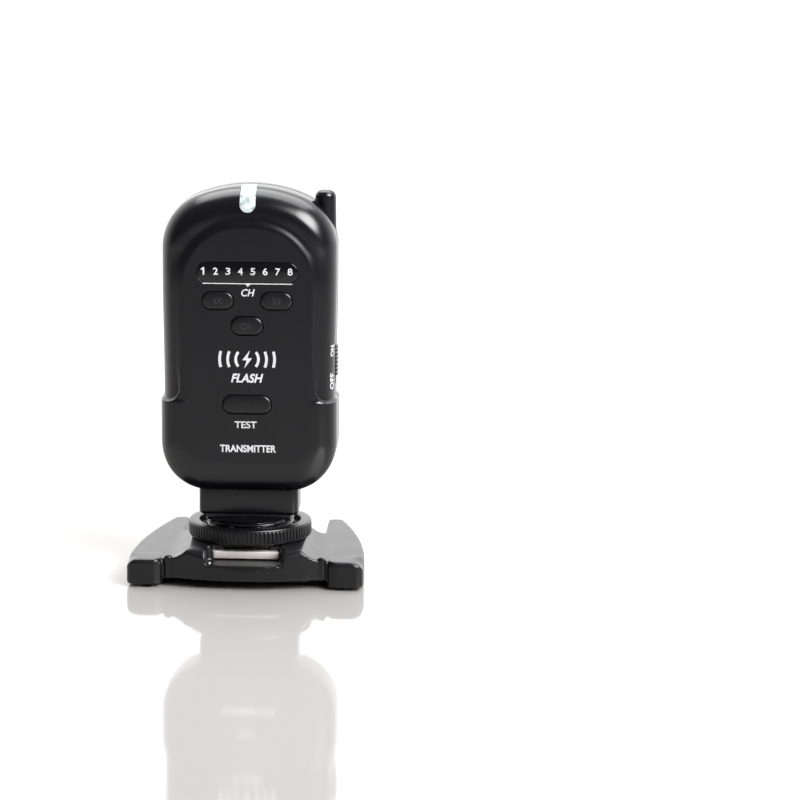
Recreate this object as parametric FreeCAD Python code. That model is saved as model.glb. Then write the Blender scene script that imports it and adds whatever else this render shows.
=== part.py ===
"""Wireless flash trigger: a transmitter that folds on its shoe foot, standing in a small flash stand.

Millimetres. +X is to the right of someone who faces the buttons, +Y is away from them and +Z is up.
The sub-parts are built about the lock ring's axis and moved by AXIS_Y when they are written, so that
the whole object's box is centred over the origin.
"""
import FreeCAD
import Part
import math
import os

V = FreeCAD.Vector
X_AXIS = V(1, 0, 0)
Y_AXIS = V(0, 1, 0)
Z_AXIS = V(0, 0, 1)

# Transmitter case
CASE_BOTTOM = 24.9
CASE_TOP = 108.4
CASE_HALF_WIDTH = 24.2        # below the shoulder
GRIP_HALF_WIDTH = 23.7        # above the shoulder, where the sides are scooped
FACE_Y = -11.0
BACK_Y = 11.0
SEAM_Y = 2.5
WALL = 1.8
SHOULDER_Z = 49.6
TOP_CORNER_R = 15.1
BOTTOM_CORNER_R = 13.7
CROWN_R = 38.5
FACE_EDGE_R = 7.0
BACK_EDGE_R = 5.0
BAND_Y = -10.4                # the scooped band round the raised panel
BAND_EDGE_R = 8.5
PANEL_HALF_WIDTH = 18.6       # the raised panel that carries the keys
PANEL_TOP = 99.2
PANEL_CORNER_R = 17.0

# Fold hinge between case and neck
HINGE_Z = 31.0
NECK_HALF_WIDTH = 13.7
NECK_HALF_DEPTH = 6.75
NECK_GAP = 0.2
POCKET_HALF_WIDTH = 13.95
BARREL_HALF_WIDTH = 13.2
HINGE_PIN_R = 1.8
RUNNING_GAP = 0.05
PIN_INNER_X = 9.2
PIN_OUTER_X = 16.0

# Foot
NECK_BOTTOM = 17.85
STEM_R = 12.2
STEM_BOTTOM = 11.3
STEM_TOP = 16.6
COLLAR_HALF_WIDTH = 11.5       # joins the round stem to the flat neck
COLLAR_HALF_DEPTH = 6.3
STEM_FLAT = 1.0               # two flats that keep the washer from turning
PLATE_Z = 7.2
PLATE_THICKNESS = 2.0
PLATE_HALF_WIDTH = 9.3        # standard accessory shoe foot, 18.6 wide
PLATE_FRONT_Y = -15.3
PLATE_BACK_Y = 5.7
PEDESTAL_HALF_WIDTH = 6.15
CONTACT_Y = -3.5
CONTACT_HOLE_R = 4.0
CARRIER_R = 3.0
CARRIER_SOCKET_TOP = 13.6

# Lock ring
RING_R = 17.0
RING_Z = 11.05
RING_HEIGHT = 4.3
RING_RIBS = 90
RING_LIFT = 1.875
WASHER_THICKNESS = 0.6

# Stand
STAND_HALF_WIDTH = 32.4
STAND_FRONT_Y = -23.3
STAND_BACK_Y = 33.5
STAND_BOTTOM = 0.8
WALL_BOTTOM = 1.6
WING_Z = 7.9
PLATFORM_Z = 10.95
PLATFORM_HALF_WIDTH = 15.7
PLATFORM_BACK_Y = 12.5
NOTCH_HALF_WIDTH = 20.0
FOOT_INNER_X = 22.9           # the straight-sided feet at the front corners
FOOT_FRONT_Y = -20.5
HORN_TIP_X = 22.3
SLOT_FLOOR = 6.9
SLOT_HALF_WIDTH = 9.45
SLOT_BACK_Y = 6.2
RAIL_UNDERSIDE = 9.3
RAIL_GAP_HALF_WIDTH = 6.4
BUSH_HOLE_R = 2.55
BUSH_LENGTH = 4.6
PAD_SPOTS = ((-27.0, -17.5), (27.0, -17.5), (-23.0, 28.6), (23.0, 28.6))
PAD_R = 1.5

# Keys: name, x, z, width, height
KEYS = (
    ("button_previous", -8.0, 78.0, 9.0, 5.2),
    ("button_next", 8.0, 78.0, 9.0, 5.2),
    ("button_set", 0.0, 71.1, 9.0, 5.3),
    ("button_test", 0.0, 49.6, 13.7, 5.5),
)
KEY_GAP = 0.15
KEY_PROUD = 0.25
KEY_TRAVEL = 0.5
KEY_DEPTH = 2.6
CHANNEL_Z = 86.1
CHANNEL_WIDTH = 27.8
CHANNEL_HEIGHT = 5.8
CHANNEL_PITCH = 3.38
LENS_HALF_WIDTH = 2.2
LENS_BOTTOM = 102.0
LENS_BACK_Y = -1.2

# Antenna stub
ANTENNA_X = 20.4
ANTENNA_Y = 3.6
ANTENNA_R = 3.0
ANTENNA_TOP = 106.7
ANTENNA_FOOT = 84.0

# Inside
BOARD_Y = -5.2
BOARD_THICKNESS = 1.0
BOARD_BACK = BOARD_Y + BOARD_THICKNESS
BOARD_HALF_WIDTH = 19.0
BOARD_BOTTOM = 41.0
BOARD_TOP = 100.0
SWITCH_HEIGHT = 1.2
PLUNGER_HEIGHT = 0.5
RADIO_BACK = BOARD_BACK + 0.8     # back of the small radio board on the main board
CELL_R = 5.2
CELL_LENGTH = 44.0
CELL_X = 5.5
CELL_Y = 3.4
CELL_BOTTOM = 45.2
DOOR_HALF_WIDTH = 12.6
DOOR_BOTTOM = 42.4
DOOR_TOP = 93.0
DOOR_THICKNESS = 1.6
DOOR_TURN_R = DOOR_THICKNESS / 2    # its rounded top edge, which it swings on
DOOR_GAP = 0.2
SLIDER_Y = -0.4
SLIDER_Z = 60.4
SLIDER_LENGTH = 9.0
SLIDER_WIDTH = 3.2
SLIDER_TRAVEL = 2.0
SLIDER_PITCH = 1.0
SWITCH_LOW = SLIDER_Z - SLIDER_TRAVEL / 2 - 4.5
SWITCH_HIGH = SLIDER_Z - SLIDER_TRAVEL / 2 + 4.5
SWITCH_LEGS = tuple(SWITCH_LOW + 1 + 2.5 * step for step in range(3))

# Screws: where they stand, then length, shank radius, head radius and head height
CASE_SCREW_SPOTS = ((-20.1, 86.0), (15.0, 97.5), (-20.4, 41.5), (20.4, 41.5))
CASE_SCREW_Y = BACK_Y - 2.7
CASE_SCREW = (9.0, 0.95, 1.8, 0.9)
CASE_POST_R = 2.1
CASE_PILOT_R = 1.0
BOARD_SCREW_SPOTS = ((-16.0, 70.0), (16.0, 70.0), (-9.5, 97.0))
BOARD_SCREW = (3.6, 0.75, 1.5, 0.7)
BOARD_POST_R = 1.8
BOARD_PILOT_R = 0.8
FOOT_SCREW_SPOTS = ((-4.2, 2.6), (4.2, 2.6), (-4.2, -10.3), (4.2, -10.3))
FOOT_SCREW = (8.5, 0.95, 1.8, 1.0)

# The part's origin is under the middle of the stand
AXIS_Y = -(STAND_FRONT_Y + STAND_BACK_Y) / 2


def box(x0, x1, y0, y1, z0, z1):
    return Part.makeBox(x1 - x0, y1 - y0, z1 - z0, V(x0, y0, z0))


def rod(radius, start, direction, length):
    return Part.makeCylinder(radius, length, start, direction)


def tube_ring(outer, inner, start, direction, length):
    return rod(outer, start, direction, length).cut(rod(inner, start, direction, length))


def fuse(shapes):
    first = shapes[0]
    rest = shapes[1:]
    return first.multiFuse(rest).removeSplitter() if rest else first


def mirrored(shape):
    return shape.mirror(V(0, 0, 0), X_AXIS)


def both_sides(shape):
    return [shape, mirrored(shape)]


def line(a, b):
    return Part.LineSegment(a, b).toShape()


def arc(a, middle, b):
    return Part.Arc(a, middle, b).toShape()


def extrude(edges, direction):
    return Part.Face(Part.Wire(edges)).extrude(direction)


def pill(x, z, width, height, y0, y1):
    """A flat-sided oval, width by height in the face, from y0 to y1."""
    radius = height / 2
    reach = width / 2 - radius
    bar = box(x - reach, x + reach, y0, y1, z - radius, z + radius)
    ends = [rod(radius, V(x + side * reach, y0, z), Y_AXIS, y1 - y0) for side in (-1, 1)]
    return fuse([bar] + ends)


def rounded_plate(x, y, half_x, half_y, radius, z0, z1):
    """A flat block, rounded at its four upright edges."""
    block = box(x - half_x, x + half_x, y - half_y, y + half_y, z0, z1)
    upright = [edge for edge in block.Edges if abs(edge.tangentAt(edge.FirstParameter).z) > 0.9]
    return block.makeFillet(radius, upright)


def lead(points, bend, radius):
    """A round lead along straight runs joined by tangent arcs."""
    edges = []
    start = points[0]
    for before, corner, after in zip(points, points[1:], points[2:]):
        into = (corner - before).normalize()
        out = (after - corner).normalize()
        turn = into.getAngle(out)
        trim = bend * math.tan(turn / 2)
        arc_start = corner - into * trim
        arc_end = corner + out * trim
        inward = (out - into).normalize()
        centre = corner + inward * (bend / math.cos(turn / 2))
        edges.append(line(start, arc_start))
        edges.append(arc(arc_start, centre - inward * bend, arc_end))
        start = arc_end
    edges.append(line(start, points[-1]))
    path = Part.Wire(edges)
    circle = Part.Wire(Part.makeCircle(radius, points[0], points[1] - points[0]))
    return path.makePipeShell([circle], True, False)


# ---------------------------------------------------------------- case

def case_outline(half_width, inset, y):
    """The case seen from the front: crowned top, round corners, flat bottom."""
    side = half_width - inset
    top_r = TOP_CORNER_R - inset
    low_r = BOTTOM_CORNER_R - inset
    crown_r = CROWN_R - inset
    crown_z = CASE_TOP - CROWN_R
    corner_x = side - top_r
    corner_z = crown_z + math.sqrt((crown_r - top_r) ** 2 - corner_x ** 2)
    lean = math.atan2(corner_x, corner_z - crown_z)
    mid = (lean + math.pi / 2) / 2
    bottom = CASE_BOTTOM + inset
    low_x = side - low_r
    low_z = bottom + low_r
    diagonal = math.sqrt(0.5)

    def crown(angle):
        return V(crown_r * math.sin(angle), y, crown_z + crown_r * math.cos(angle))

    def corner(sign, angle):
        return V(sign * (corner_x + top_r * math.sin(angle)), y, corner_z + top_r * math.cos(angle))

    def low(sign, across, down):
        return V(sign * (low_x + low_r * across), y, low_z - low_r * down)

    return [
        arc(crown(-lean), crown(0), crown(lean)),
        arc(crown(lean), corner(1, mid), corner(1, math.pi / 2)),
        line(corner(1, math.pi / 2), low(1, 1, 0)),
        arc(low(1, 1, 0), low(1, diagonal, diagonal), low(1, 0, 1)),
        line(low(1, 0, 1), low(-1, 0, 1)),
        arc(low(-1, 0, 1), low(-1, diagonal, diagonal), low(-1, 1, 0)),
        line(low(-1, 1, 0), corner(-1, math.pi / 2)),
        arc(corner(-1, math.pi / 2), corner(-1, mid), crown(-lean)),
    ]


def edges_at_y(shape, y):
    return [edge for edge in shape.Edges
            if all(abs(vertex.Y - y) < 1e-6 for vertex in edge.Vertexes)]


def pebble(half_width, inset, front, back, front_r, back_r):
    """The case's outline given depth, with its front and back edges rolled over."""
    block = extrude(case_outline(half_width, inset, front), V(0, back - front, 0))
    block = block.makeFillet(front_r, edges_at_y(block, front))
    return block.makeFillet(back_r, edges_at_y(block, back))


def panel_prism():
    """The raised panel from the front, which widens to the whole case below the shoulder."""
    lip = 4.0
    far = CASE_HALF_WIDTH + 5
    low = CASE_BOTTOM - 5
    side = PANEL_HALF_WIDTH
    top = PANEL_TOP
    flat = side - PANEL_CORNER_R
    diagonal = math.sqrt(0.5)
    y = FACE_Y - 1

    def at(sign, x, z):
        return V(sign * x, y, z)

    def half(sign):
        corner_mid = at(sign, flat + PANEL_CORNER_R * diagonal, top - PANEL_CORNER_R * (1 - diagonal))
        lip_mid = at(sign, side + lip * (1 - diagonal), SHOULDER_Z + lip * (1 - diagonal))
        return [
            line(at(sign, far, low), at(sign, far, SHOULDER_Z)),
            line(at(sign, far, SHOULDER_Z), at(sign, side + lip, SHOULDER_Z)),
            arc(at(sign, side + lip, SHOULDER_Z), lip_mid, at(sign, side, SHOULDER_Z + lip)),
            line(at(sign, side, SHOULDER_Z + lip), at(sign, side, top - PANEL_CORNER_R)),
            arc(at(sign, side, top - PANEL_CORNER_R), corner_mid, at(sign, flat, top)),
        ]

    joins = [line(at(1, flat, top), at(-1, flat, top)), line(at(1, far, low), at(-1, far, low))]
    outline = Part.Wire(Part.__sortEdges__(half(1) + half(-1) + joins))
    return Part.Face(outline).extrude(V(0, SEAM_Y - y, 0))


def case_outside():
    band = pebble(GRIP_HALF_WIDTH, 0, BAND_Y, BACK_Y, BAND_EDGE_R, BACK_EDGE_R)
    full = pebble(CASE_HALF_WIDTH, 0, FACE_Y, BACK_Y, FACE_EDGE_R, BACK_EDGE_R)
    low_half = box(-40, 40, SEAM_Y, BACK_Y + 1, CASE_BOTTOM - 5, SHOULDER_Z)
    return fuse([band, full.common(panel_prism()), full.common(low_half)])


def hinge_housing():
    wide = POCKET_HALF_WIDTH + 2.2
    return box(-wide, wide, BAND_Y, BACK_Y, CASE_BOTTOM, HINGE_Z + NECK_HALF_DEPTH + 2.4)


def fold_pocket():
    """Where the neck enters and swings: open below and at the back."""
    reach = NECK_HALF_DEPTH + NECK_GAP
    wide = POCKET_HALF_WIDTH
    below = box(-wide, wide, -reach, BACK_Y + 2, CASE_BOTTOM - 2, HINGE_Z)
    behind = box(-wide, wide, 0, BACK_Y + 2, HINGE_Z, HINGE_Z + reach)
    swing = rod(reach, V(-wide, 0, HINGE_Z), X_AXIS, 2 * wide)
    return fuse([below, behind, swing])


def case_inside():
    hollow = pebble(GRIP_HALF_WIDTH, WALL, FACE_Y + WALL + 0.6, BACK_Y - WALL, 6.4, 3.2)
    return hollow.cut(hinge_housing())


def lens_prism(gap):
    """The status lens from the front: a rounded tongue that runs up over the top edge."""
    half = LENS_HALF_WIDTH + gap
    front = FACE_Y - 1
    back = LENS_BACK_Y + gap
    end_z = LENS_BOTTOM + LENS_HALF_WIDTH
    tongue = box(-half, half, front, back, end_z, CASE_TOP + 2)
    end = rod(half, V(0, front, end_z), Y_AXIS, back - front)
    return fuse([tongue, end])


def screw_posts(spots, radius, bore, y0, y1):
    posts = []
    for x, z in spots:
        posts.append(tube_ring(radius, bore, V(x, y0, z), Y_AXIS, y1 - y0))
    return posts


def antenna_pocket():
    return rod(ANTENNA_R + 0.05, V(ANTENNA_X, ANTENNA_Y, ANTENNA_FOOT - 0.05), Z_AXIS, 40)


def slider_slot():
    reach = SLIDER_LENGTH / 2 + 0.15
    half = SLIDER_WIDTH / 2 + 0.15
    return box(20, 26, SLIDER_Y - half, SLIDER_Y + half,
               SLIDER_Z - reach - SLIDER_TRAVEL, SLIDER_Z + reach)


def front_shell(outside, inside):
    front_half = box(-40, 40, FACE_Y - 2, SEAM_Y, CASE_BOTTOM - 5, CASE_TOP + 5)
    shell = outside.common(front_half).cut(inside)
    shell = shell.cut(fold_pocket())
    for name, x, z, width, height in KEYS:
        shell = shell.cut(pill(x, z, width + 2 * KEY_GAP, height + 2 * KEY_GAP, FACE_Y - 1, -7))
    shell = shell.cut(pill(0, CHANNEL_Z, CHANNEL_WIDTH, CHANNEL_HEIGHT, FACE_Y - 1, FACE_Y + 1))
    window_hole = pill(0, CHANNEL_Z, CHANNEL_WIDTH - 1.6, CHANNEL_HEIGHT - 1.6, FACE_Y, -7)
    shell = shell.cut(window_hole)
    shell = shell.cut(lens_prism(0.0))
    shell = shell.cut(slider_slot())
    shell = shell.cut(antenna_pocket())
    pins = rod(HINGE_PIN_R, V(-PIN_OUTER_X, 0, HINGE_Z), X_AXIS, 2 * PIN_OUTER_X)
    shell = shell.cut(pins)
    lead_way = rod(0.9, V(-17, 0, HINGE_Z), X_AXIS, 34)
    shell = shell.cut(lead_way)
    posts = screw_posts(BOARD_SCREW_SPOTS, BOARD_POST_R, BOARD_PILOT_R, BAND_Y + 1.2, BOARD_Y)
    posts += screw_posts(CASE_SCREW_SPOTS, CASE_POST_R, CASE_PILOT_R, FACE_Y + 2.6, SEAM_Y)
    return fuse([shell] + [post.common(outside) for post in posts])


def rear_shell(outside, inside):
    rear_half = box(-40, 40, SEAM_Y, BACK_Y + 2, CASE_BOTTOM - 5, CASE_TOP + 5)
    shell = outside.common(rear_half).cut(inside)
    shell = shell.cut(fold_pocket())
    shell = shell.cut(antenna_pocket())
    doorway = box(-DOOR_HALF_WIDTH - DOOR_GAP, DOOR_HALF_WIDTH + DOOR_GAP, BACK_Y - 3, BACK_Y + 1,
                  DOOR_BOTTOM - DOOR_GAP, DOOR_TOP + DOOR_GAP)
    shell = shell.cut(doorway)
    posts = screw_posts(CASE_SCREW_SPOTS, CASE_POST_R, CASE_PILOT_R, SEAM_Y, BACK_Y - 1.0)
    shell = fuse([shell] + [post.common(outside) for post in posts])
    for x, z in CASE_SCREW_SPOTS:
        head = V(x, CASE_SCREW_Y, z)
        shell = shell.cut(screw_seat(head, -Y_AXIS, CASE_SCREW))
        shell = shell.cut(rod(CASE_SCREW[2] + 0.1, head, Y_AXIS, 6))
    return shell


def battery_door():
    """A flat door that swings on its rounded top edge and hooks behind the case with two tabs."""
    turn_z = DOOR_TOP - DOOR_TURN_R
    tab_top = DOOR_TOP + 1.4
    tab_y = BACK_Y - WALL - 1.0
    pieces = [
        box(-DOOR_HALF_WIDTH, DOOR_HALF_WIDTH, BACK_Y - DOOR_THICKNESS, BACK_Y, DOOR_BOTTOM, turn_z),
        rod(DOOR_TURN_R, V(-DOOR_HALF_WIDTH, BACK_Y - DOOR_TURN_R, turn_z), X_AXIS, 2 * DOOR_HALF_WIDTH),
        box(-3, 3, tab_y - 0.2, BACK_Y - 0.5, DOOR_BOTTOM + 0.4, DOOR_BOTTOM + 1.4),
    ]
    for x in (-9.0, 9.0):
        pieces.append(box(x - 1.5, x + 1.5, tab_y, tab_y + 0.9, DOOR_TOP - 3, tab_top))
        pieces.append(box(x - 1.5, x + 1.5, tab_y, BACK_Y - 0.5, DOOR_TOP - 3, DOOR_TOP - 1))
    grooves = []
    for row in range(5):
        z = DOOR_BOTTOM + 4 + 1.6 * row
        grooves.append(box(-5, 5, BACK_Y - 0.4, BACK_Y + 1, z, z + 0.7))
    return fuse(pieces).cut(Part.makeCompound(grooves))


def channel_window():
    outer = pill(0, CHANNEL_Z, CHANNEL_WIDTH - 0.1, CHANNEL_HEIGHT - 0.1, FACE_Y + 0.15, FACE_Y + 1)
    inner = pill(0, CHANNEL_Z, CHANNEL_WIDTH - 1.8, CHANNEL_HEIGHT - 1.8, FACE_Y + 0.8, -8.6)
    return fuse([outer, inner])


def status_lens(outside):
    core = pebble(GRIP_HALF_WIDTH, 2.6, BAND_Y + 2.6, BACK_Y - 2.6, 5.9, 2.4)
    return outside.common(lens_prism(-0.05)).cut(core)


def antenna_cap():
    straight = ANTENNA_TOP - ANTENNA_R - ANTENNA_FOOT
    cap = rod(ANTENNA_R, V(ANTENNA_X, ANTENNA_Y, ANTENNA_FOOT), Z_AXIS, straight)
    dome = Part.makeSphere(ANTENNA_R, V(ANTENNA_X, ANTENNA_Y, ANTENNA_TOP - ANTENNA_R))
    hollow = rod(1.9, V(ANTENNA_X, ANTENNA_Y, ANTENNA_FOOT - 1), Z_AXIS, straight - 1)
    return fuse([cap, dome]).cut(hollow)


def coil(x, y, z, radius, wire_r, pitch, height):
    helix = Part.makeHelix(pitch, height, radius)
    section = Part.Wire(Part.makeCircle(wire_r, V(radius, 0, 0), Y_AXIS))
    spring = Part.Wire(helix.Edges).makePipeShell([section], True, True)
    return spring.translated(V(x, y, z))


def antenna_coil():
    return coil(ANTENNA_X, ANTENNA_Y, ANTENNA_FOOT + 1.5, 1.4, 0.25, 1.5, 13.5)


def key(x, z, width, height):
    """A pill-shaped key with a stem that reaches its switch."""
    cap = pill(x, z, width, height, FACE_Y - KEY_PROUD, FACE_Y + KEY_DEPTH)
    cap = cap.makeFillet(0.4, edges_at_y(cap, FACE_Y - KEY_PROUD))
    start = FACE_Y + KEY_DEPTH - 0.1
    end = BOARD_Y - SWITCH_HEIGHT - PLUNGER_HEIGHT - KEY_TRAVEL
    stem = rod(1.2, V(x, start, z), Y_AXIS, end - start)
    return fuse([cap, stem])


def tact_switches():
    switches = []
    for name, x, z, width, height in KEYS:
        base = box(x - 2.1, x + 2.1, BOARD_Y - SWITCH_HEIGHT, BOARD_Y, z - 2.1, z + 2.1)
        plunger = rod(1.0, V(x, BOARD_Y - SWITCH_HEIGHT - 0.3, z), Y_AXIS, 0.4)
        switches.append(fuse([base, plunger]))
    return Part.makeCompound(switches)


def power_slider():
    """Ribbed thumb piece with a tongue through the case's side."""
    half = SLIDER_WIDTH / 2
    reach = SLIDER_LENGTH / 2
    outer = CASE_HALF_WIDTH + 0.1
    thumb = box(20.9, outer, SLIDER_Y - half, SLIDER_Y + half, SLIDER_Z - reach, SLIDER_Z + reach)
    grooves = []
    for step in range(8):
        z = SLIDER_Z - reach + 0.8 + SLIDER_PITCH * step
        grooves.append(box(outer - 0.5, outer + 1, SLIDER_Y - half, SLIDER_Y + half, z, z + 0.4))
    return thumb.cut(Part.makeCompound(grooves))


def switch_actuator():
    return box(18.6, 20.9, SLIDER_Y - 0.6, SLIDER_Y + 0.6, SLIDER_Z - 0.8, SLIDER_Z + 0.8)


def slide_switch():
    y0 = BOARD_BACK
    body = box(14.6, 18.4, y0, 1.6, SWITCH_LOW, SWITCH_HIGH)
    way = box(16.6, 19, SLIDER_Y - 0.9, SLIDER_Y + 0.9, SLIDER_Z - 1.0 - SLIDER_TRAVEL, SLIDER_Z + 1.0)
    legs = [box(15, 15.5, BOARD_Y - 0.6, y0, z, z + 0.5) for z in SWITCH_LEGS]
    return fuse([body.cut(way)] + legs)


def main_board():
    board = box(-BOARD_HALF_WIDTH, BOARD_HALF_WIDTH, BOARD_Y, BOARD_BACK, BOARD_BOTTOM, BOARD_TOP)
    corners = [edge for edge in board.Edges if abs(edge.tangentAt(edge.FirstParameter).y) > 0.9]
    top = [edge for edge in corners if edge.CenterOfMass.z > 90]
    board = board.makeFillet(9.0, top)
    for x, z in BOARD_SCREW_SPOTS:
        board = board.cut(rod(0.9, V(x, BOARD_Y - 1, z), Y_AXIS, 3))
    for x, z in CASE_SCREW_SPOTS:
        board = board.cut(rod(CASE_POST_R + 0.3, V(x, BOARD_Y - 1, z), Y_AXIS, 3))
    for z in SWITCH_LEGS:
        board = board.cut(box(14.9, 15.6, BOARD_Y - 1, BOARD_Y + 2, z - 0.1, z + 0.6))
    return board


def radio_board():
    y0 = BOARD_BACK
    return box(0.2, 12.5, y0, RADIO_BACK, 91.2, 98.6)


def radio_can():
    y0 = RADIO_BACK
    can = box(0.9, 11.9, y0, y0 + 2.2, 92.0, 97.8)
    return can.cut(box(1.2, 11.6, y0 - 1, y0 + 1.9, 92.3, 97.5))


def radio_chip():
    y0 = RADIO_BACK
    return box(4.4, 8.4, y0, y0 + 0.9, 93.0, 97.0)


def processor_chip():
    chip = box(-3.5, 3.5, BOARD_Y - 1.4, BOARD_Y - 0.2, 57.6, 64.6)
    legs = []
    for side in (-1, 1):
        for step in range(8):
            z = 58.2 + 0.8 * step
            legs.append(box(min(side * 3.4, side * 4.5), max(side * 3.4, side * 4.5),
                            BOARD_Y - 0.4, BOARD_Y, z, z + 0.35))
    return fuse([chip] + legs)


def crystal():
    return pill(10.0, 62.5, 5.0, 2.2, BOARD_Y - 1.8, BOARD_Y)


def capacitors():
    cans = [rod(1.6, V(x, BOARD_Y - 2.6, z), Y_AXIS, 2.6) for x, z in ((-11, 60), (-11, 64.5), (-15, 62))]
    return Part.makeCompound(cans)


def channel_leds():
    leds = []
    for number in range(8):
        x = (number - 3.5) * CHANNEL_PITCH
        leds.append(box(x - 0.8, x + 0.8, BOARD_Y - 0.8, BOARD_Y, CHANNEL_Z - 0.4, CHANNEL_Z + 0.4))
    return Part.makeCompound(leds)


def status_led():
    return rod(1.0, V(0, BOARD_Y - 1.4, 98.6), Y_AXIS, 1.4)


# ---------------------------------------------------------------- power

def cell_top():
    return CELL_BOTTOM + CELL_LENGTH


def battery(side):
    """One cell: can, then its pip. The two cells stand opposite ways up."""
    x = side * CELL_X
    can = rod(CELL_R, V(x, CELL_Y, CELL_BOTTOM), Z_AXIS, CELL_LENGTH - 1)
    can = can.makeFillet(0.5, [edge for edge in can.Edges if len(edge.Vertexes) == 1])
    pip = rod(1.8, V(x, CELL_Y, CELL_BOTTOM + CELL_LENGTH - 1.1), Z_AXIS, 1.1)
    cell = fuse([can, pip])
    if side > 0:
        middle = V(x, CELL_Y, CELL_BOTTOM + CELL_LENGTH / 2)
        cell = cell.rotated(middle, X_AXIS, 180)
    return cell


def battery_tray():
    """Open-backed box that holds the cells off the board."""
    half = 2 * CELL_R + 1.4
    y0 = BOARD_BACK + 0.9
    low = CELL_BOTTOM - 2.8
    high = cell_top() + 1.8
    tray = box(-half, half, y0, 7.0, low, high)
    space = box(-half + 1, half - 1, y0 + 1, 12, low + 0.9, high - 0.9)
    tray = tray.cut(space)
    slots = [box(x - 1, x + 1, y0 + 1, 12, low - 1, high + 1) for x in (-CELL_X, CELL_X)]
    return tray.cut(Part.makeCompound(slots))


def battery_springs():
    """A coil under each cell's flat end."""
    low = CELL_BOTTOM - 1.6
    first = coil(-CELL_X, CELL_Y, low + 0.2, 2.2, 0.2, 0.6, 1.1)
    second = coil(CELL_X, CELL_Y, cell_top() + 0.22, 2.2, 0.2, 0.25, 0.2)
    return Part.makeCompound([first, second])


def battery_plates():
    low = CELL_BOTTOM - 1.85
    high = cell_top() + 0.65
    plates = [
        box(-CELL_X - 3.5, -CELL_X + 3.5, CELL_Y - 3.5, CELL_Y + 3.5, low, low + 0.25),
        box(CELL_X - 3.5, CELL_X + 3.5, CELL_Y - 3.5, CELL_Y + 3.5, CELL_BOTTOM - 0.3, CELL_BOTTOM - 0.05),
        box(-CELL_X - 3.5, CELL_X + 3.5, CELL_Y - 3.5, CELL_Y + 3.5, high, high + 0.25),
    ]
    return Part.makeCompound(plates)


def battery_leads():
    y0 = BOARD_BACK
    leads = []
    for side in (-1, 1):
        x = side * 13.2
        start = V(x, y0, 47.0)
        leads.append(lead([start, V(x, y0 + 2.4, 47.0), V(x, y0 + 2.4, 41.6), V(side * 8.5, y0 + 2.4, 41.6)],
                          0.9, 0.4))
    return Part.makeCompound(leads)


def board_leads():
    y0 = BOARD_BACK
    points = [V(16.9, y0, 46), V(16.9, 0, 46), V(16.9, 0, HINGE_Z), V(PIN_INNER_X - 0.2, 0, HINGE_Z)]
    return lead(points, 1.3, 0.45)


# ---------------------------------------------------------------- screws

def screw(point, direction, size):
    """A screw whose head top is at the point and whose shank runs along the direction."""
    length, shank_r, head_r, head_height = size
    head = Part.makeCone(head_r, shank_r, head_height, point, direction)
    shank = rod(shank_r, point, direction, length)
    recess = rod(shank_r * 0.55, point, direction, head_height * 0.7)
    return fuse([head, shank]).cut(recess)


def screw_seat(point, direction, size):
    """What a countersunk screw takes out of the piece that it holds."""
    length, shank_r, head_r, head_height = size
    gap = 0.05
    cone = Part.makeCone(head_r + gap, shank_r + gap, head_height + gap, point, direction)
    return fuse([cone, rod(shank_r + gap, point, direction, length + gap)])


def case_screws():
    screws = [screw(V(x, CASE_SCREW_Y, z), -Y_AXIS, CASE_SCREW) for x, z in CASE_SCREW_SPOTS]
    return Part.makeCompound(screws)


def board_screws():
    y = BOARD_BACK + BOARD_SCREW[3]
    screws = [screw(V(x, y, z), -Y_AXIS, BOARD_SCREW) for x, z in BOARD_SCREW_SPOTS]
    return Part.makeCompound(screws)


def foot_screws():
    screws = [screw(V(x, y, PLATE_Z + 0.05), Z_AXIS, FOOT_SCREW) for x, y in FOOT_SCREW_SPOTS]
    return Part.makeCompound(screws)


def foot_screw_seats():
    seats = [screw_seat(V(x, y, PLATE_Z), Z_AXIS, FOOT_SCREW) for x, y in FOOT_SCREW_SPOTS]
    return Part.makeCompound(seats)


# ---------------------------------------------------------------- foot

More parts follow.
